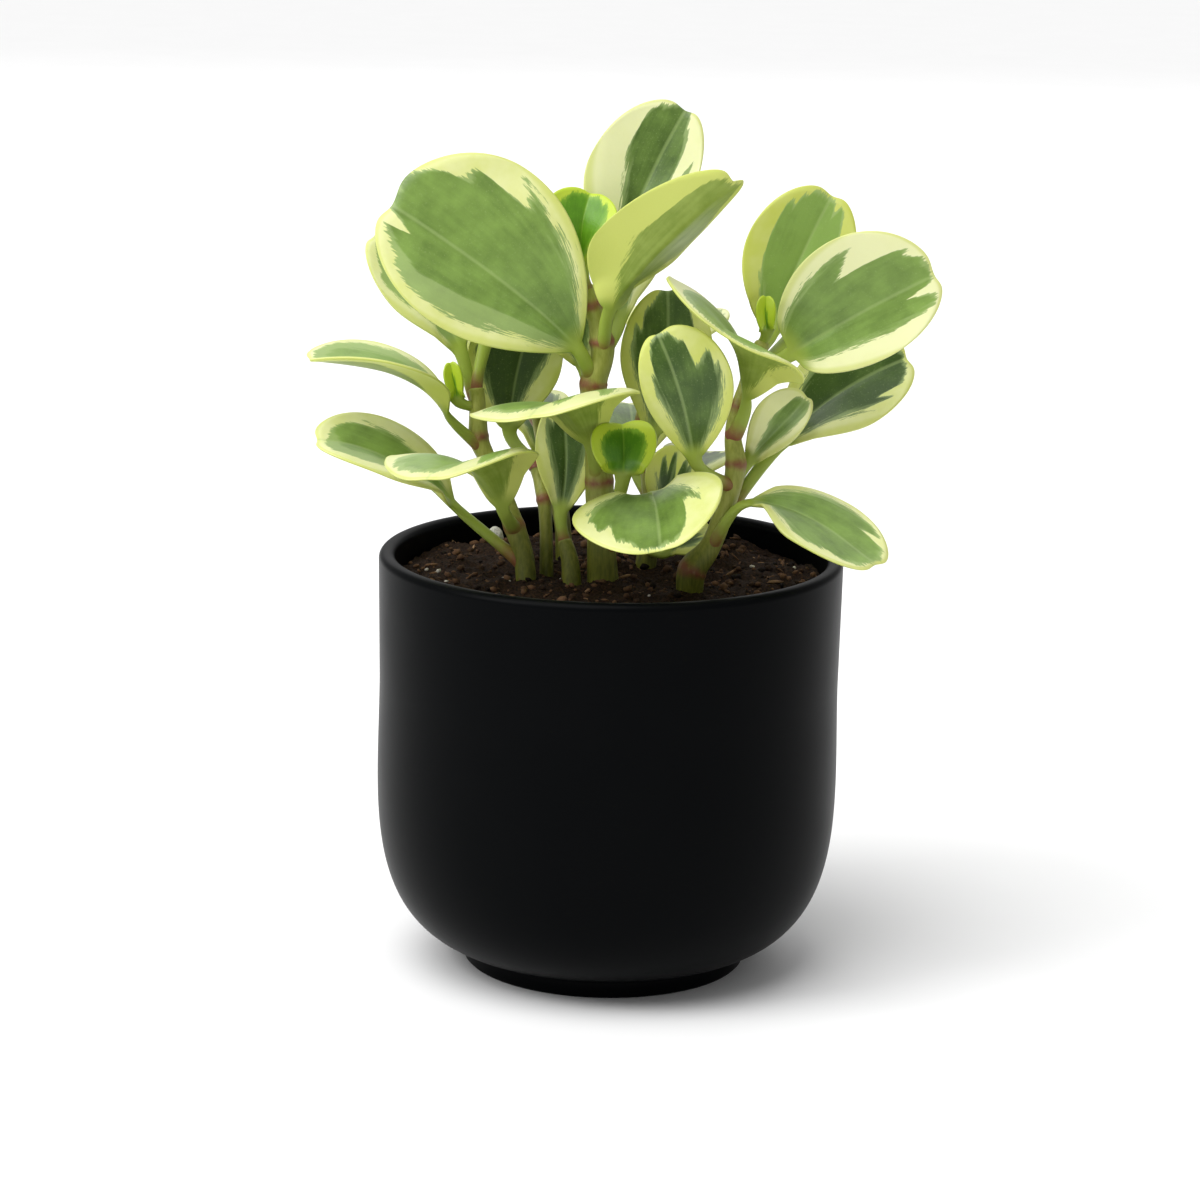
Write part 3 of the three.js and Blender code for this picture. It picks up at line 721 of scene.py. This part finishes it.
def make_crumbs(material):
    """Crumbs, bark fibres and grains of perlite that lie on the soil."""
    grain, grain_faces = ball(1)
    points, faces, tones = [], [], []
    for kind in CRUMBS:
        for _ in range(kind["count"]):
            radius = (POT_RADIUS - WALL - 2) * math.sqrt(chance.random())
            angle = chance.uniform(0, 2 * math.pi)
            x, y = radius * math.cos(angle), radius * math.sin(angle)
            low, high = kind["size"]
            size = mix(low, high, chance.random() ** 2.5)
            slim = size * chance.uniform(*kind["slim"])
            turn = Matrix.Rotation(chance.uniform(0, math.pi), 3, "Z")
            turn = turn @ Matrix.Rotation(chance.gauss(0, 0.35), 3, "Y")
            centre = Vector((x, y, clod_height(x, y) + slim * 0.35))
            tone = chance.uniform(*kind["tone"])
            start = len(points)
            for point in grain:
                rough = 1 + 0.45 * noise.noise(point * 1.3 + centre)
                scaled = Vector((point.x * size, point.y * slim, point.z * slim * 0.8)) * rough
                points.append(centre + turn @ scaled)
                tones.append(tone)
            faces += [tuple(start + i for i in face) for face in grain_faces]
    crumbs = mesh_object("soil_crumbs", points, faces, [material], floats={"tone": tones})
    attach(crumbs, "root")


def make_pebble(material):
    shell, faces = ball(4)
    points = []
    for point in shell:
        rough = 1 + 0.14 * noise.noise(point * 1.1) + 0.06 * noise.noise(point * 4)
        scaled = Vector([a * b for a, b in zip(point, PEBBLE_SIZE)])
        points.append(Vector(PEBBLE_CENTRE) + scaled * rough)
    pebble = mesh_object("perlite_lump", points, faces, [material])
    dress(pebble, "pebble")


# Stems


def path_point(path, share):
    """A point (x, y, z, radius) on the smooth curve through a stem's path."""
    place = share * (len(path) - 1)
    index = min(int(place), len(path) - 2)
    part = place - index
    before, start = path[max(index - 1, 0)], path[index]
    end, after = path[index + 1], path[min(index + 2, len(path) - 1)]
    point = []
    for a, b, c, d in zip(before, start, end, after):
        slope, bend, twist = c - a, 2 * a - 5 * b + 4 * c - d, 3 * b - a - 3 * c + d
        point.append(0.5 * (2 * b + slope * part + bend * part**2 + twist * part**3))
    return point


def node_heights(path):
    """The heights at which a stem is thicker than just above and below."""
    return [
        here[2]
        for below, here, above in zip(path, path[1:], path[2:])
        if here[3] > below[3] or (here[3] == below[3] and here[3] > above[3])
        if here[3] >= above[3]
    ]


def nearness(height, nodes, width):
    """1 at a node, and falling to 0 over about a width above and below."""
    return max([math.exp(-(((height - node) / width) ** 2)) for node in nodes], default=0)


def make_stem(name, path, material):
    steps = (len(path) - 1) * STEM_STEPS
    nodes = node_heights(path)
    x, y, z, radius = path[0]
    samples = [[x, y, z - STEM_DEPTH, radius]] + [path_point(path, i / steps) for i in range(steps + 1)]
    side = Vector((1, 0, 0))
    points, collars, depths = [], [], []
    for i, (x, y, z, radius) in enumerate(samples):
        above, below = samples[min(i + 1, steps + 1)], samples[max(i - 1, 0)]
        along = (Vector(above[:3]) - Vector(below[:3])).normalized()
        side = squared(side, along)
        collar = nearness(z, nodes, COLLAR_WIDTH)
        ridge = nearness(z, nodes, RIDGE_WIDTH)
        centre = Vector((x, y, z))
        ring = oval(centre, side, side.cross(along), radius, radius, STEM_SIDES)
        for point in ring:
            outward = (point - centre).normalized()
            lump = noise.noise(Vector((point.x, point.y, point.z * LUMP_STRETCH)) * LUMP_TURNS)
            points.append(point + outward * (LUMP_HEIGHT * lump + RIDGE_HEIGHT * ridge))
            collars.append(collar)
            depths.append(z - SOIL_TOP)
    rings = len(samples)
    faces = tube_faces(rings, STEM_SIDES)
    tip = samples[-1]
    points.append(Vector(tip[:3]) + (Vector(tip[:3]) - Vector(samples[-2][:3])).normalized() * tip[3] * 0.5)
    collars.append(1)
    depths.append(tip[2] - SOIL_TOP)
    last = (rings - 1) * STEM_SIDES
    faces += [(last + i, last + (i + 1) % STEM_SIDES, len(points) - 1) for i in range(STEM_SIDES)]
    faces.append(tuple(range(STEM_SIDES))[::-1])
    floats = {"collar": collars, "rise": depths}
    stem = mesh_object(name + "_skin", points, faces, [material], floats=floats)
    subdivide(stem)
    dress(stem, name)


def stem_at(path, height):
    """The stem's centre and radius at a height."""
    for low, high in zip(path, path[1:]):
        if height <= high[2]:
            break
    share = (height - low[2]) / (high[2] - low[2])
    x, y, z, radius = [mix(a, b, share) for a, b in zip(low, high)]
    return Vector((x, y, z)), radius


# Leaves


def blade_point(leaf, rib, s, t):
    """A point of the blade, from neck (s = 0) to margin (s = 1) and from left (t = -1) to right (t = 1),
    with the direction square to the blade there and its distance from the midrib."""
    reach = leaf.shoulder + (1 - leaf.shoulder) * math.sqrt(max(0, 1 - t * t))
    dent = 0.03 * s**4 * math.exp(-((t / TIP_NOTCH_WIDTH) ** 2))
    u = s * reach * (1 - dent)
    along = bezier_direction(rib, u)
    up = squared(Vector(leaf.face), along)
    side = along.cross(up)
    side_half = leaf.half[0] if t < 0 else leaf.half[1]
    spread = NECK_HALF_WIDTH + (side_half - NECK_HALF_WIDTH) * math.sin(s * math.pi / 2) ** leaf.base
    across = abs(t) * spread
    folded = mix(leaf.fold[1], leaf.fold[0], (1 - s) ** 2) * min(1, s * 4)
    mean = math.radians(folded + leaf.cup * abs(t) / 2)
    lean = math.radians(folded + leaf.cup * abs(t))
    sign = (t > 0) - (t < 0)
    point = bezier(rib, u) + side * sign * across * math.cos(mean) + up * across * math.sin(mean)
    normal = side * -sign * math.sin(lean) + up * math.cos(lean)
    return point, normal, across, spread


def petiole_root(leaf, neck):
    """Where a leaf stalk starts, in the middle of its stem, and in which direction."""
    path = STEMS[leaf.stem]
    if leaf.root is None:
        below, top = Vector(path[-2][:3]), Vector(path[-1][:3])
        direction = (top - below).normalized()
        return top - direction, direction
    centre, _ = stem_at(path, leaf.root)
    direction = neck - centre
    direction.z = 0
    direction.normalize()
    direction.z = STALK_CLIMB
    return centre, direction.normalized()


def petiole_rings(leaf, rib):
    """The rings of the leaf stalk, from the stem to the blade's neck."""
    neck, along = bezier(rib, 0), bezier_direction(rib, 0)
    root, direction = petiole_root(leaf, neck)
    pull = (neck - root).length / 4
    stalk = STALK_RADIUS + STALK_SHARE * (leaf.half[0] + leaf.half[1])
    curve = [root, root + direction * pull, neck - along * 1.3 * pull, neck]
    side = along.cross(squared(Vector(leaf.face), along))
    rings = []
    for step in reversed(range(PETIOLE_STEPS)):
        share = step / PETIOLE_STEPS
        forward = bezier_direction(curve, share)
        side = squared(side, forward)
        flare = 1 + 0.3 * math.exp(-((share / 0.3) ** 2))
        width = mix(stalk, NECK_HALF_WIDTH, share**2) * flare
        height = mix(stalk, MIDRIB_THICKNESS / 2, share**3) * flare
        rings.append(oval(bezier(curve, share), side, side.cross(forward), width, height, RING_POINTS))
    return rings[::-1]


def flame_outline(seed):
    """An outline of the green that is drawn by chance: flames with cream clefts between them."""
    draw = random.Random(seed)
    outline = [(0, FULL_CREAM), (0.12, draw.uniform(4, 10))]
    place = 0.16
    while place < 0.84:
        outline.append((place, draw.uniform(0.6, 3.5)))
        outline.append((place + draw.uniform(0.03, 0.07), draw.uniform(0.4, 2.5)))
        place += draw.uniform(0.09, 0.16)
        outline.append((place - 0.012, draw.uniform(3, 9)))
    return outline + [(0.95, draw.uniform(4, 10)), (1, FULL_CREAM)]


def green_depth(leaf, outline, length, spread, s, t):
    """How far inside the green a point of the blade lies, in millimetres. It is negative on the cream
    margin, and the second value on the pale zone too."""
    turn = math.asin(t) / math.pi + 0.5
    outside = (1 - s) * length - height_at(outline, turn)
    beside = (1 - abs(t)) * spread - along_list(leaf.left if t < 0 else leaf.right, s)
    green = -math.log(math.exp(-min(outside, DEPTH_LIMIT)) + math.exp(-min(beside, DEPTH_LIMIT)))
    return green, green - height_at(leaf.pale, turn)


def make_leaf(name, leaf, materials):
    rib = [leaf.neck, [2 * m - (a + b) / 2 for a, m, b in zip(leaf.neck, leaf.mid, leaf.tip)], leaf.tip]
    length = (Vector(leaf.tip) - Vector(leaf.neck)).length
    size = (leaf.half[0] + leaf.half[1]) / 40
    outline = leaf.outer or flame_outline(leaf.seed)
    shift = sum(leaf.neck)
    points, uvs = [], []
    floats = {key: [] for key in ("green", "deep", "rim", "midrib", "stalk", "size", "seed", "lime", "dark")}

    def note(point, turn, s, **values):
        points.append(point)
        uvs.append((turn, s))
        # dark carries the leaf's own tone together with its painted shade or painted sheen to the shader
        values.update(size=size, seed=shift, lime=leaf.lime, dark=leaf.dark)
        for key, value in values.items():
            floats[key].append(value)

    for row, ring in enumerate(petiole_rings(leaf, rib)):
        for i, point in enumerate(ring):
            across = math.cos((i + 0.5) / RING_POINTS * 2 * math.pi)
            stalk = row / PETIOLE_STEPS
            inside = {key: STALK_GREEN_DEPTH for key in ("green", "deep", "rim")}
            note(point, 0.5 - across / 2, 0, midrib=abs(across) * 2, stalk=stalk, **inside)

    def blade_values(s, t, across, spread):
        reach = length * (leaf.shoulder + (1 - leaf.shoulder) * math.sqrt(max(0, 1 - t * t)))
        green, deep = green_depth(leaf, outline, reach, spread, s, t)
        rim = min((1 - s) * reach, (1 - abs(t)) * spread)
        return {"green": green, "deep": deep, "rim": rim, "midrib": across, "stalk": 1}

    for row in range(BLADE_ROWS + 2):
        closing = row > BLADE_ROWS
        s = min(row / BLADE_ROWS, 1)
        upper, lower, edges = [], [], []
        for column in range(BLADE_COLUMNS + 1):
            turn = column / BLADE_COLUMNS
            t = math.sin((turn - 0.5) * math.pi)
            point, normal, across, spread = blade_point(leaf, rib, s, t)
            values = blade_values(s, t, across, spread)
            wave = noise.noise(point * WAVE_TURNS + Vector((shift, 0, 0)))
            point += normal * WAVE_HEIGHT * size * wave * min(1, values["rim"] / 3 + 0.4)
            groove = GROOVE_DEPTH * math.exp(-((across / GROOVE_WIDTH) ** 2)) * (1 - s) * min(1, s * 6)
            rise = MARGIN_THICKNESS + (MIDRIB_THICKNESS - MARGIN_THICKNESS) * (1 - t * t) * (1 - s)
            if closing:
                inner = blade_point(leaf, rib, INWARD, t)[0]
                point += (point - inner).normalized() * rise * EDGE_ROUND
                rise = groove = 0
            if column in (0, BLADE_COLUMNS):
                inner = blade_point(leaf, rib, s, t * INWARD)[0]
                bulge = 0 if closing else MARGIN_THICKNESS * EDGE_ROUND
                edges.append((point + (point - inner).normalized() * bulge, turn, s, values))
            upper.append((point + normal * (rise / 2 - groove), turn, s, values))
            lower.append((point - normal * rise / 2, turn, s, values))
        for point, turn, s, values in [*upper, edges[1], *lower[::-1], edges[0]]:
            note(point, turn, s, **values)

    rings = len(points) // RING_POINTS
    faces = tube_faces(rings, RING_POINTS)
    uses = []
    for row in range(rings - 1):
        for i in range(RING_POINTS):
            blade = row >= PETIOLE_STEPS and (i <= BLADE_COLUMNS or i == RING_POINTS - 1)
            uses.append(0 if blade else 1)
    piece = mesh_object(name + "_blade", points, faces, materials, uses, floats, uvs)
    dress(piece, name)


# Materials


class Shader:
    """A material's node tree, with short ways to add its nodes."""

    def __init__(self, name):
        self.material = bpy.data.materials.new(name)
        self.material.use_nodes = True
        self.tree = self.material.node_tree
        self.surface = self.tree.nodes["Principled BSDF"]

    def add(self, kind, output, inputs, **settings):
        """A node with these settings. inputs maps a socket's name or number to a value or a socket."""
        node = self.tree.nodes.new(kind)
        for key, value in settings.items():
            setattr(node, key, value)
        for key, value in inputs.items():
            self.put(node, key, value)
        return node.outputs[output]

    def put(self, node, key, value):
        if isinstance(value, bpy.types.NodeSocket):
            self.tree.links.new(value, node.inputs[key])
        else:
            node.inputs[key].default_value = value

    def finish(self, **inputs):
        """Sets the surface's own sockets."""
        for key, value in inputs.items():
            self.put(self.surface, key.replace("_", " ").title().replace("Ior", "IOR"), value)
        return self.material

    def value(self, name):
        """A value stored at the mesh's points."""
        return self.add("ShaderNodeAttribute", "Fac", {}, attribute_name=name)

    def split(self, vector):
        """A vector's first two parts."""
        node = self.tree.nodes.new("ShaderNodeSeparateXYZ")
        self.put(node, 0, vector)
        return node.outputs[0], node.outputs[1]

    def veins(self):
        """The place across a blade, from left to right, and along it, from neck to margin."""
        return self.split(self.add("ShaderNodeUVMap", 0, {}, uv_map="veins"))

    def math(self, operation, a, b=0):
        return self.add("ShaderNodeMath", 0, {0: a, 1: b}, operation=operation)

    def place(self):
        """The position in millimetres."""
        position = self.add("ShaderNodeNewGeometry", "Position", {})
        return self.add("ShaderNodeVectorMath", 0, {0: position, "Scale": 1 / MM}, operation="SCALE")

    def noise(self, vector, scale, detail=3, roughness=0.55):
        inputs = {"Vector": vector, "Scale": scale, "Detail": detail, "Roughness": roughness}
        return self.add("ShaderNodeTexNoise", "Fac", inputs)

    def step(self, value, low, high):
        """0 below low, 1 above high, and a soft step between them."""
        inputs = {"Value": value, "From Min": low, "From Max": high}
        return self.add("ShaderNodeMapRange", 0, inputs, interpolation_type="SMOOTHSTEP")

    def span(self, value, low, high):
        """A value from 0 to 1 spread from low to high."""
        inputs = {"Value": value, "To Min": low, "To Max": high}
        return self.add("ShaderNodeMapRange", 0, inputs)

    def blend(self, share, a, b):
        node = self.tree.nodes.new("ShaderNodeMix")
        node.data_type = "RGBA"
        self.put(node, 0, share)
        self.put(node, 6, a)
        self.put(node, 7, b)
        return node.outputs[2]

    def bump(self, height, strength, distance):
        inputs = {"Height": height, "Strength": strength, "Distance": distance * MM}
        return self.add("ShaderNodeBump", 0, inputs)


def colour(red, green, blue):
    """A colour given as 8-bit sRGB values, for a shader's socket."""
    parts = [value / 255 for value in (red, green, blue)]
    return tuple(v / 12.92 if v <= 0.04045 else ((v + 0.055) / 1.055) ** 2.4 for v in parts) + (1,)


def streak_noise(shader, fine, slow, start):
    """Noise drawn out along the veins, which run from the neck to the margin, round zero."""
    across, along = shader.veins()
    place = shader.add(
        "ShaderNodeCombineXYZ", 0,
        {
            0: shader.math("MULTIPLY", across, fine),
            1: shader.math("MULTIPLY", along, slow),
            2: shader.math("ADD", shader.value("seed"), start),
        },
    )
    return shader.math("SUBTRACT", shader.noise(place, 1, 4, 0.6), 0.5)


def blend_neck(shader, surface):
    """The surface with the leaf stalk's green at the blade's neck."""
    _, along = shader.veins()
    neck = shader.math("SUBTRACT", 1, shader.step(along, 0.01, 0.14))
    return shader.blend(neck, surface, colour(*STALK_GREEN))


def flame_height(shader):
    """How far inside the green, and inside the deep green, a point is, with ragged edges."""
    reach = shader.math("MULTIPLY", shader.value("size"), FLAME_RAGGEDNESS)
    ragged = shader.math("MULTIPLY", streak_noise(shader, 90, 9, 0), shader.math("MULTIPLY", reach, 1.8))
    broad = shader.math("MULTIPLY", streak_noise(shader, 20, 4, 20), reach)
    inner = shader.math("MULTIPLY", streak_noise(shader, 26, 3, 40), shader.math("MULTIPLY", reach, 2))
    edge = shader.math("ADD", shader.value("green"), shader.math("ADD", ragged, broad))
    depth = shader.math("ADD", shader.value("deep"), inner)
    return edge, depth


def leaf_finish(shader, surface, roughness, specular, relief):
    """What both sides of a leaf share: a waxy, slightly translucent skin. roughness is (low, high)."""
    return shader.finish(
        base_color=surface,
        roughness=shader.span(shader.noise(shader.place(), 0.3), *roughness),
        specular_ior_level=specular,
        subsurface_weight=0.1,
        subsurface_radius=(0.8, 1, 0.3),
        subsurface_scale=1.2 * MM,
        normal=shader.bump(relief, 0.2, 0.25),
    )


def leaf_material(name, deep, light, pale, cream, lime, roughness):
    """The upper side of a leaf: deep and light green, a pale green zone, a cream margin and a lime rim."""
    shader = Shader(name)
    place = shader.place()
    edge, depth = flame_height(shader)
    streaks = shader.math("MULTIPLY", streak_noise(shader, 34, 3, 60), 0.45)
    mottle = shader.math("ADD", shader.noise(place, 0.14, 3), streaks)
    # dark takes light green away: the leaf's own tone, with painted shade on leaves in shadow and painted
    # sheen where it is low
    light_share = shader.math("SUBTRACT", shader.step(mottle, -0.35, 1.35), shader.value("dark"))
    green = shader.blend(shader.step(light_share, -0.55, 0.6), colour(*deep), colour(*light))
    fleck = shader.step(shader.noise(place, 2.2, 4, 0.7), 0.56, 0.72)
    green = shader.blend(shader.math("MULTIPLY", fleck, 0.28), green, colour(*pale))
    zone = shader.span(shader.step(depth, 0.1, 1.6), 0.5, 1)
    inside = shader.blend(zone, colour(*pale), green)
    yellow = shader.math("ADD", shader.value("lime"), shader.span(shader.noise(place, 0.12), -0.35, 0.35))
    margin = shader.blend(shader.step(yellow, 0, 1), colour(*cream), colour(*lime))
    rim = shader.step(shader.value("rim"), 0.1, 0.9)
    margin = shader.blend(shader.span(rim, 0.5, 0), margin, colour(*lime))
    surface = shader.blend(shader.step(edge, -0.25, 0.25), margin, inside)
    rib = shader.math("SUBTRACT", 1, shader.step(shader.value("midrib"), 0.1, 0.7))
    surface = shader.blend(shader.math("MULTIPLY", rib, 0.32), surface, colour(*pale))
    surface = blend_neck(shader, surface)
    veins = shader.math("MULTIPLY", streak_noise(shader, 14, 1, 80), 0.5)
    ripple = shader.math("ADD", shader.noise(place, 1.1, 4), veins)
    return leaf_finish(shader, surface, (roughness - 0.05, roughness + 0.07), 0.4, ripple)


def underside_material(name, green, pale, cream, root):
    """The underside of a leaf and its stalk, which is reddish where it leaves the stem."""
    shader = Shader(name)
    place = shader.place()
    edge, _ = flame_height(shader)
    mottle = shader.math("ADD", shader.noise(place, 0.2), streak_noise(shader, 24, 2, 60))
    inside = shader.blend(shader.step(mottle, 0.1, 0.95), colour(*green), colour(*pale))
    surface = shader.blend(shader.step(edge, -0.5, 0.5), colour(*cream), inside)
    surface = blend_neck(shader, surface)
    stalk = shader.value("stalk")
    spread = shader.math("ADD", stalk, shader.span(shader.noise(place, 0.5), -0.12, 0.12))
    surface = shader.blend(shader.step(spread, 0.05, 0.55), colour(*root), surface)
    return leaf_finish(shader, surface, (0.4, 0.55), 0.35, shader.noise(place, 1.3))


def stem_material():
    shader = Shader("stem_skin")
    place = shader.place()
    rise = shader.value("rise")
    collar = shader.value("collar")
    drawn = shader.add("ShaderNodeVectorMath", 0, {0: place, 1: (1, 1, 0.22)}, operation="MULTIPLY")
    streak = shader.noise(drawn, 1.1, 4, 0.6)
    young = shader.blend(shader.step(streak, 0.15, 0.85), colour(128, 136, 46), colour(168, 170, 84))
    old = shader.blend(shader.step(streak, 0.15, 0.85), colour(66, 72, 14), colour(118, 120, 36))
    skin = shader.blend(shader.step(rise, 0, 26), old, young)
    red = shader.math("MULTIPLY", collar, shader.span(shader.noise(place, 0.45), 0.35, 1.25))
    skin = shader.blend(shader.step(red, 0.15, 0.95), skin, colour(132, 76, 54))
    scar = shader.step(shader.math("MULTIPLY", collar, streak), 0.5, 0.62)
    skin = shader.blend(shader.math("MULTIPLY", scar, 0.5), skin, colour(150, 122, 84))
    return shader.finish(
        base_color=skin,
        roughness=shader.span(streak, 0.4, 0.6),
        specular_ior_level=0.4,
        normal=shader.bump(streak, 0.25, 0.3),
    )


def soil_material():
    shader = Shader("peat_soil")
    place = shader.place()
    fine, broad = shader.noise(place, 1.6, 5, 0.7), shader.noise(place, 0.25, 3)
    earth = shader.blend(shader.step(fine, 0.35, 0.7), colour(12, 8, 5), colour(66, 46, 31))
    patches = shader.math("MULTIPLY", shader.step(broad, 0.4, 0.7), 0.5)
    earth = shader.blend(patches, earth, colour(40, 27, 20))
    return shader.finish(
        base_color=earth, roughness=0.95, specular_ior_level=0.15, normal=shader.bump(fine, 0.9, 0.8)
    )


def crumb_material():
    """Loose bits, from dark peat over brown bark to pale perlite, by the tone stored at their points."""
    shader = Shader("soil_bits")
    place = shader.place()
    fine = shader.noise(place, 2.2, 4, 0.7)
    tone = shader.math("ADD", shader.value("tone"), shader.span(fine, -0.2, 0.2))
    bits = shader.blend(shader.step(tone, 0, 0.6), colour(20, 13, 9), colour(104, 76, 54))
    bits = shader.blend(shader.step(tone, 0.65, 1.1), bits, colour(172, 138, 104))
    bits = shader.blend(shader.step(tone, 1.2, 1.4), bits, colour(196, 190, 178))
    return shader.finish(
        base_color=bits, roughness=0.92, specular_ior_level=0.2, normal=shader.bump(fine, 0.8, 0.4)
    )


def pebble_material():
    shader = Shader("perlite_grain")
    place = shader.place()
    pores = shader.noise(place, 2.4, 4, 0.7)
    white = shader.blend(shader.step(pores, 0.35, 0.6), colour(170, 166, 156), colour(228, 226, 220))
    return shader.finish(base_color=white, roughness=0.85, normal=shader.bump(pores, 0.8, 0.3))


def glaze_material():
    shader = Shader("black_glaze")
    place = shader.place()
    grain, cloud = shader.noise(place, 2.5, 3), shader.noise(place, 0.05, 4)
    black = shader.blend(cloud, colour(4, 5, 6), colour(7, 8, 9))
    return shader.finish(
        base_color=black,
        roughness=shader.span(cloud, 0.3, 0.42),
        specular_ior_level=0.03,
        normal=shader.bump(grain, 0.1, 0.1),
    )


# Stage


def make_camera():
    camera = add_object("photo_camera", bpy.data.cameras.new("photo_camera"))
    forward = Vector((0, math.cos(CAMERA_PITCH), -math.sin(CAMERA_PITCH)))
    level = Vector((1, 0, 0))
    raised = level.cross(forward)
    right = level * math.cos(CAMERA_ROLL) + raised * math.sin(CAMERA_ROLL)
    up = raised * math.cos(CAMERA_ROLL) - level * math.sin(CAMERA_ROLL)
    turn = Matrix((right, up, -forward)).transposed()
    camera.matrix_world = Matrix.Translation(Vector(CAMERA_PLACE) * MM) @ turn.to_4x4()
    camera.data.lens = CAMERA_LENS
    camera.data.sensor_width = CAMERA_SENSOR
    camera.data.clip_end = 50
    bpy.context.scene.camera = camera


def make_light(name, place, aim, size, power):
    """A square soft light, with its place and aim in millimetres."""
    lamp = bpy.data.lights.new(name, "AREA")
    lamp.size = size * MM
    lamp.energy = power
    light = add_object(name, lamp)
    light.location = Vector(place) * MM
    light.rotation_mode = "QUATERNION"
    light.rotation_quaternion = (Vector(aim) - Vector(place)).to_track_quat("-Z", "Y")


def make_sky_light():
    """Even light from above, which a distant wide lamp gives."""
    lamp = bpy.data.lights.new("sky_light", "SUN")
    lamp.angle = math.radians(SKY_LIGHT_WIDTH)
    lamp.energy = SKY_LIGHT_STRENGTH
    light = add_object("sky_light", lamp)
    light.rotation_mode = "QUATERNION"
    light.rotation_quaternion = Vector(SKY_LIGHT_FROM).to_track_quat("Z", "Y")


def make_stage():
    shader = Shader("pale_floor")
    paper = shader.noise(shader.place(), 0.02, 2)
    shade = shader.blend(paper, colour(243, 243, 243), colour(246, 246, 246))
    material = shader.finish(base_color=shade, roughness=0.9, specular_ior_level=0.1)
    corners = [(x * FLOOR_REACH, y * FLOOR_REACH, 0) for x, y in ((-1, -1), (1, -1), (1, 1), (-1, 1))]
    floor = mesh_object("studio_floor", corners, [(0, 1, 2, 3)], [material])
    world = bpy.data.worlds.new("studio")
    world.use_nodes = True
    world.node_tree.nodes["Background"].inputs["Color"].default_value = (1, 1, 1, 1)
    world.node_tree.nodes["Background"].inputs["Strength"].default_value = WORLD_STRENGTH
    bpy.context.scene.world = world
    bpy.context.scene.view_settings.view_transform = "Standard"
    for name, light in LIGHTS.items():
        make_light(name, *light)
    make_sky_light()


# Assembly

make_camera()
make_stage()

make_pot(glaze_material())
make_soil(soil_material())
make_crumbs(crumb_material())
make_pebble(pebble_material())

bark = stem_material()
for name, path in STEMS.items():
    make_stem(name, path, bark)

grown = [
    leaf_material(
        "leaf_face", deep=(52, 78, 18), light=(132, 163, 76), pale=(168, 188, 122),
        cream=(228, 230, 176), lime=(194, 202, 84), roughness=0.36,
    ),
    underside_material(
        "leaf_underside", green=(118, 140, 46), pale=(148, 166, 76), cream=(198, 206, 104),
        root=(132, 78, 54),
    ),
]
fresh = [
    leaf_material(
        "young_leaf_face", deep=(58, 108, 8), light=(112, 168, 34), pale=(150, 190, 60),
        cream=(196, 214, 70), lime=(184, 208, 50), roughness=0.32,
    ),
    underside_material(
        "young_leaf_underside", green=(120, 156, 40), pale=(150, 182, 60), cream=(186, 208, 84),
        root=(128, 110, 56),
    ),
]
for name, leaf in LEAVES.items():
    make_leaf(name, leaf, fresh if leaf.young else grown)
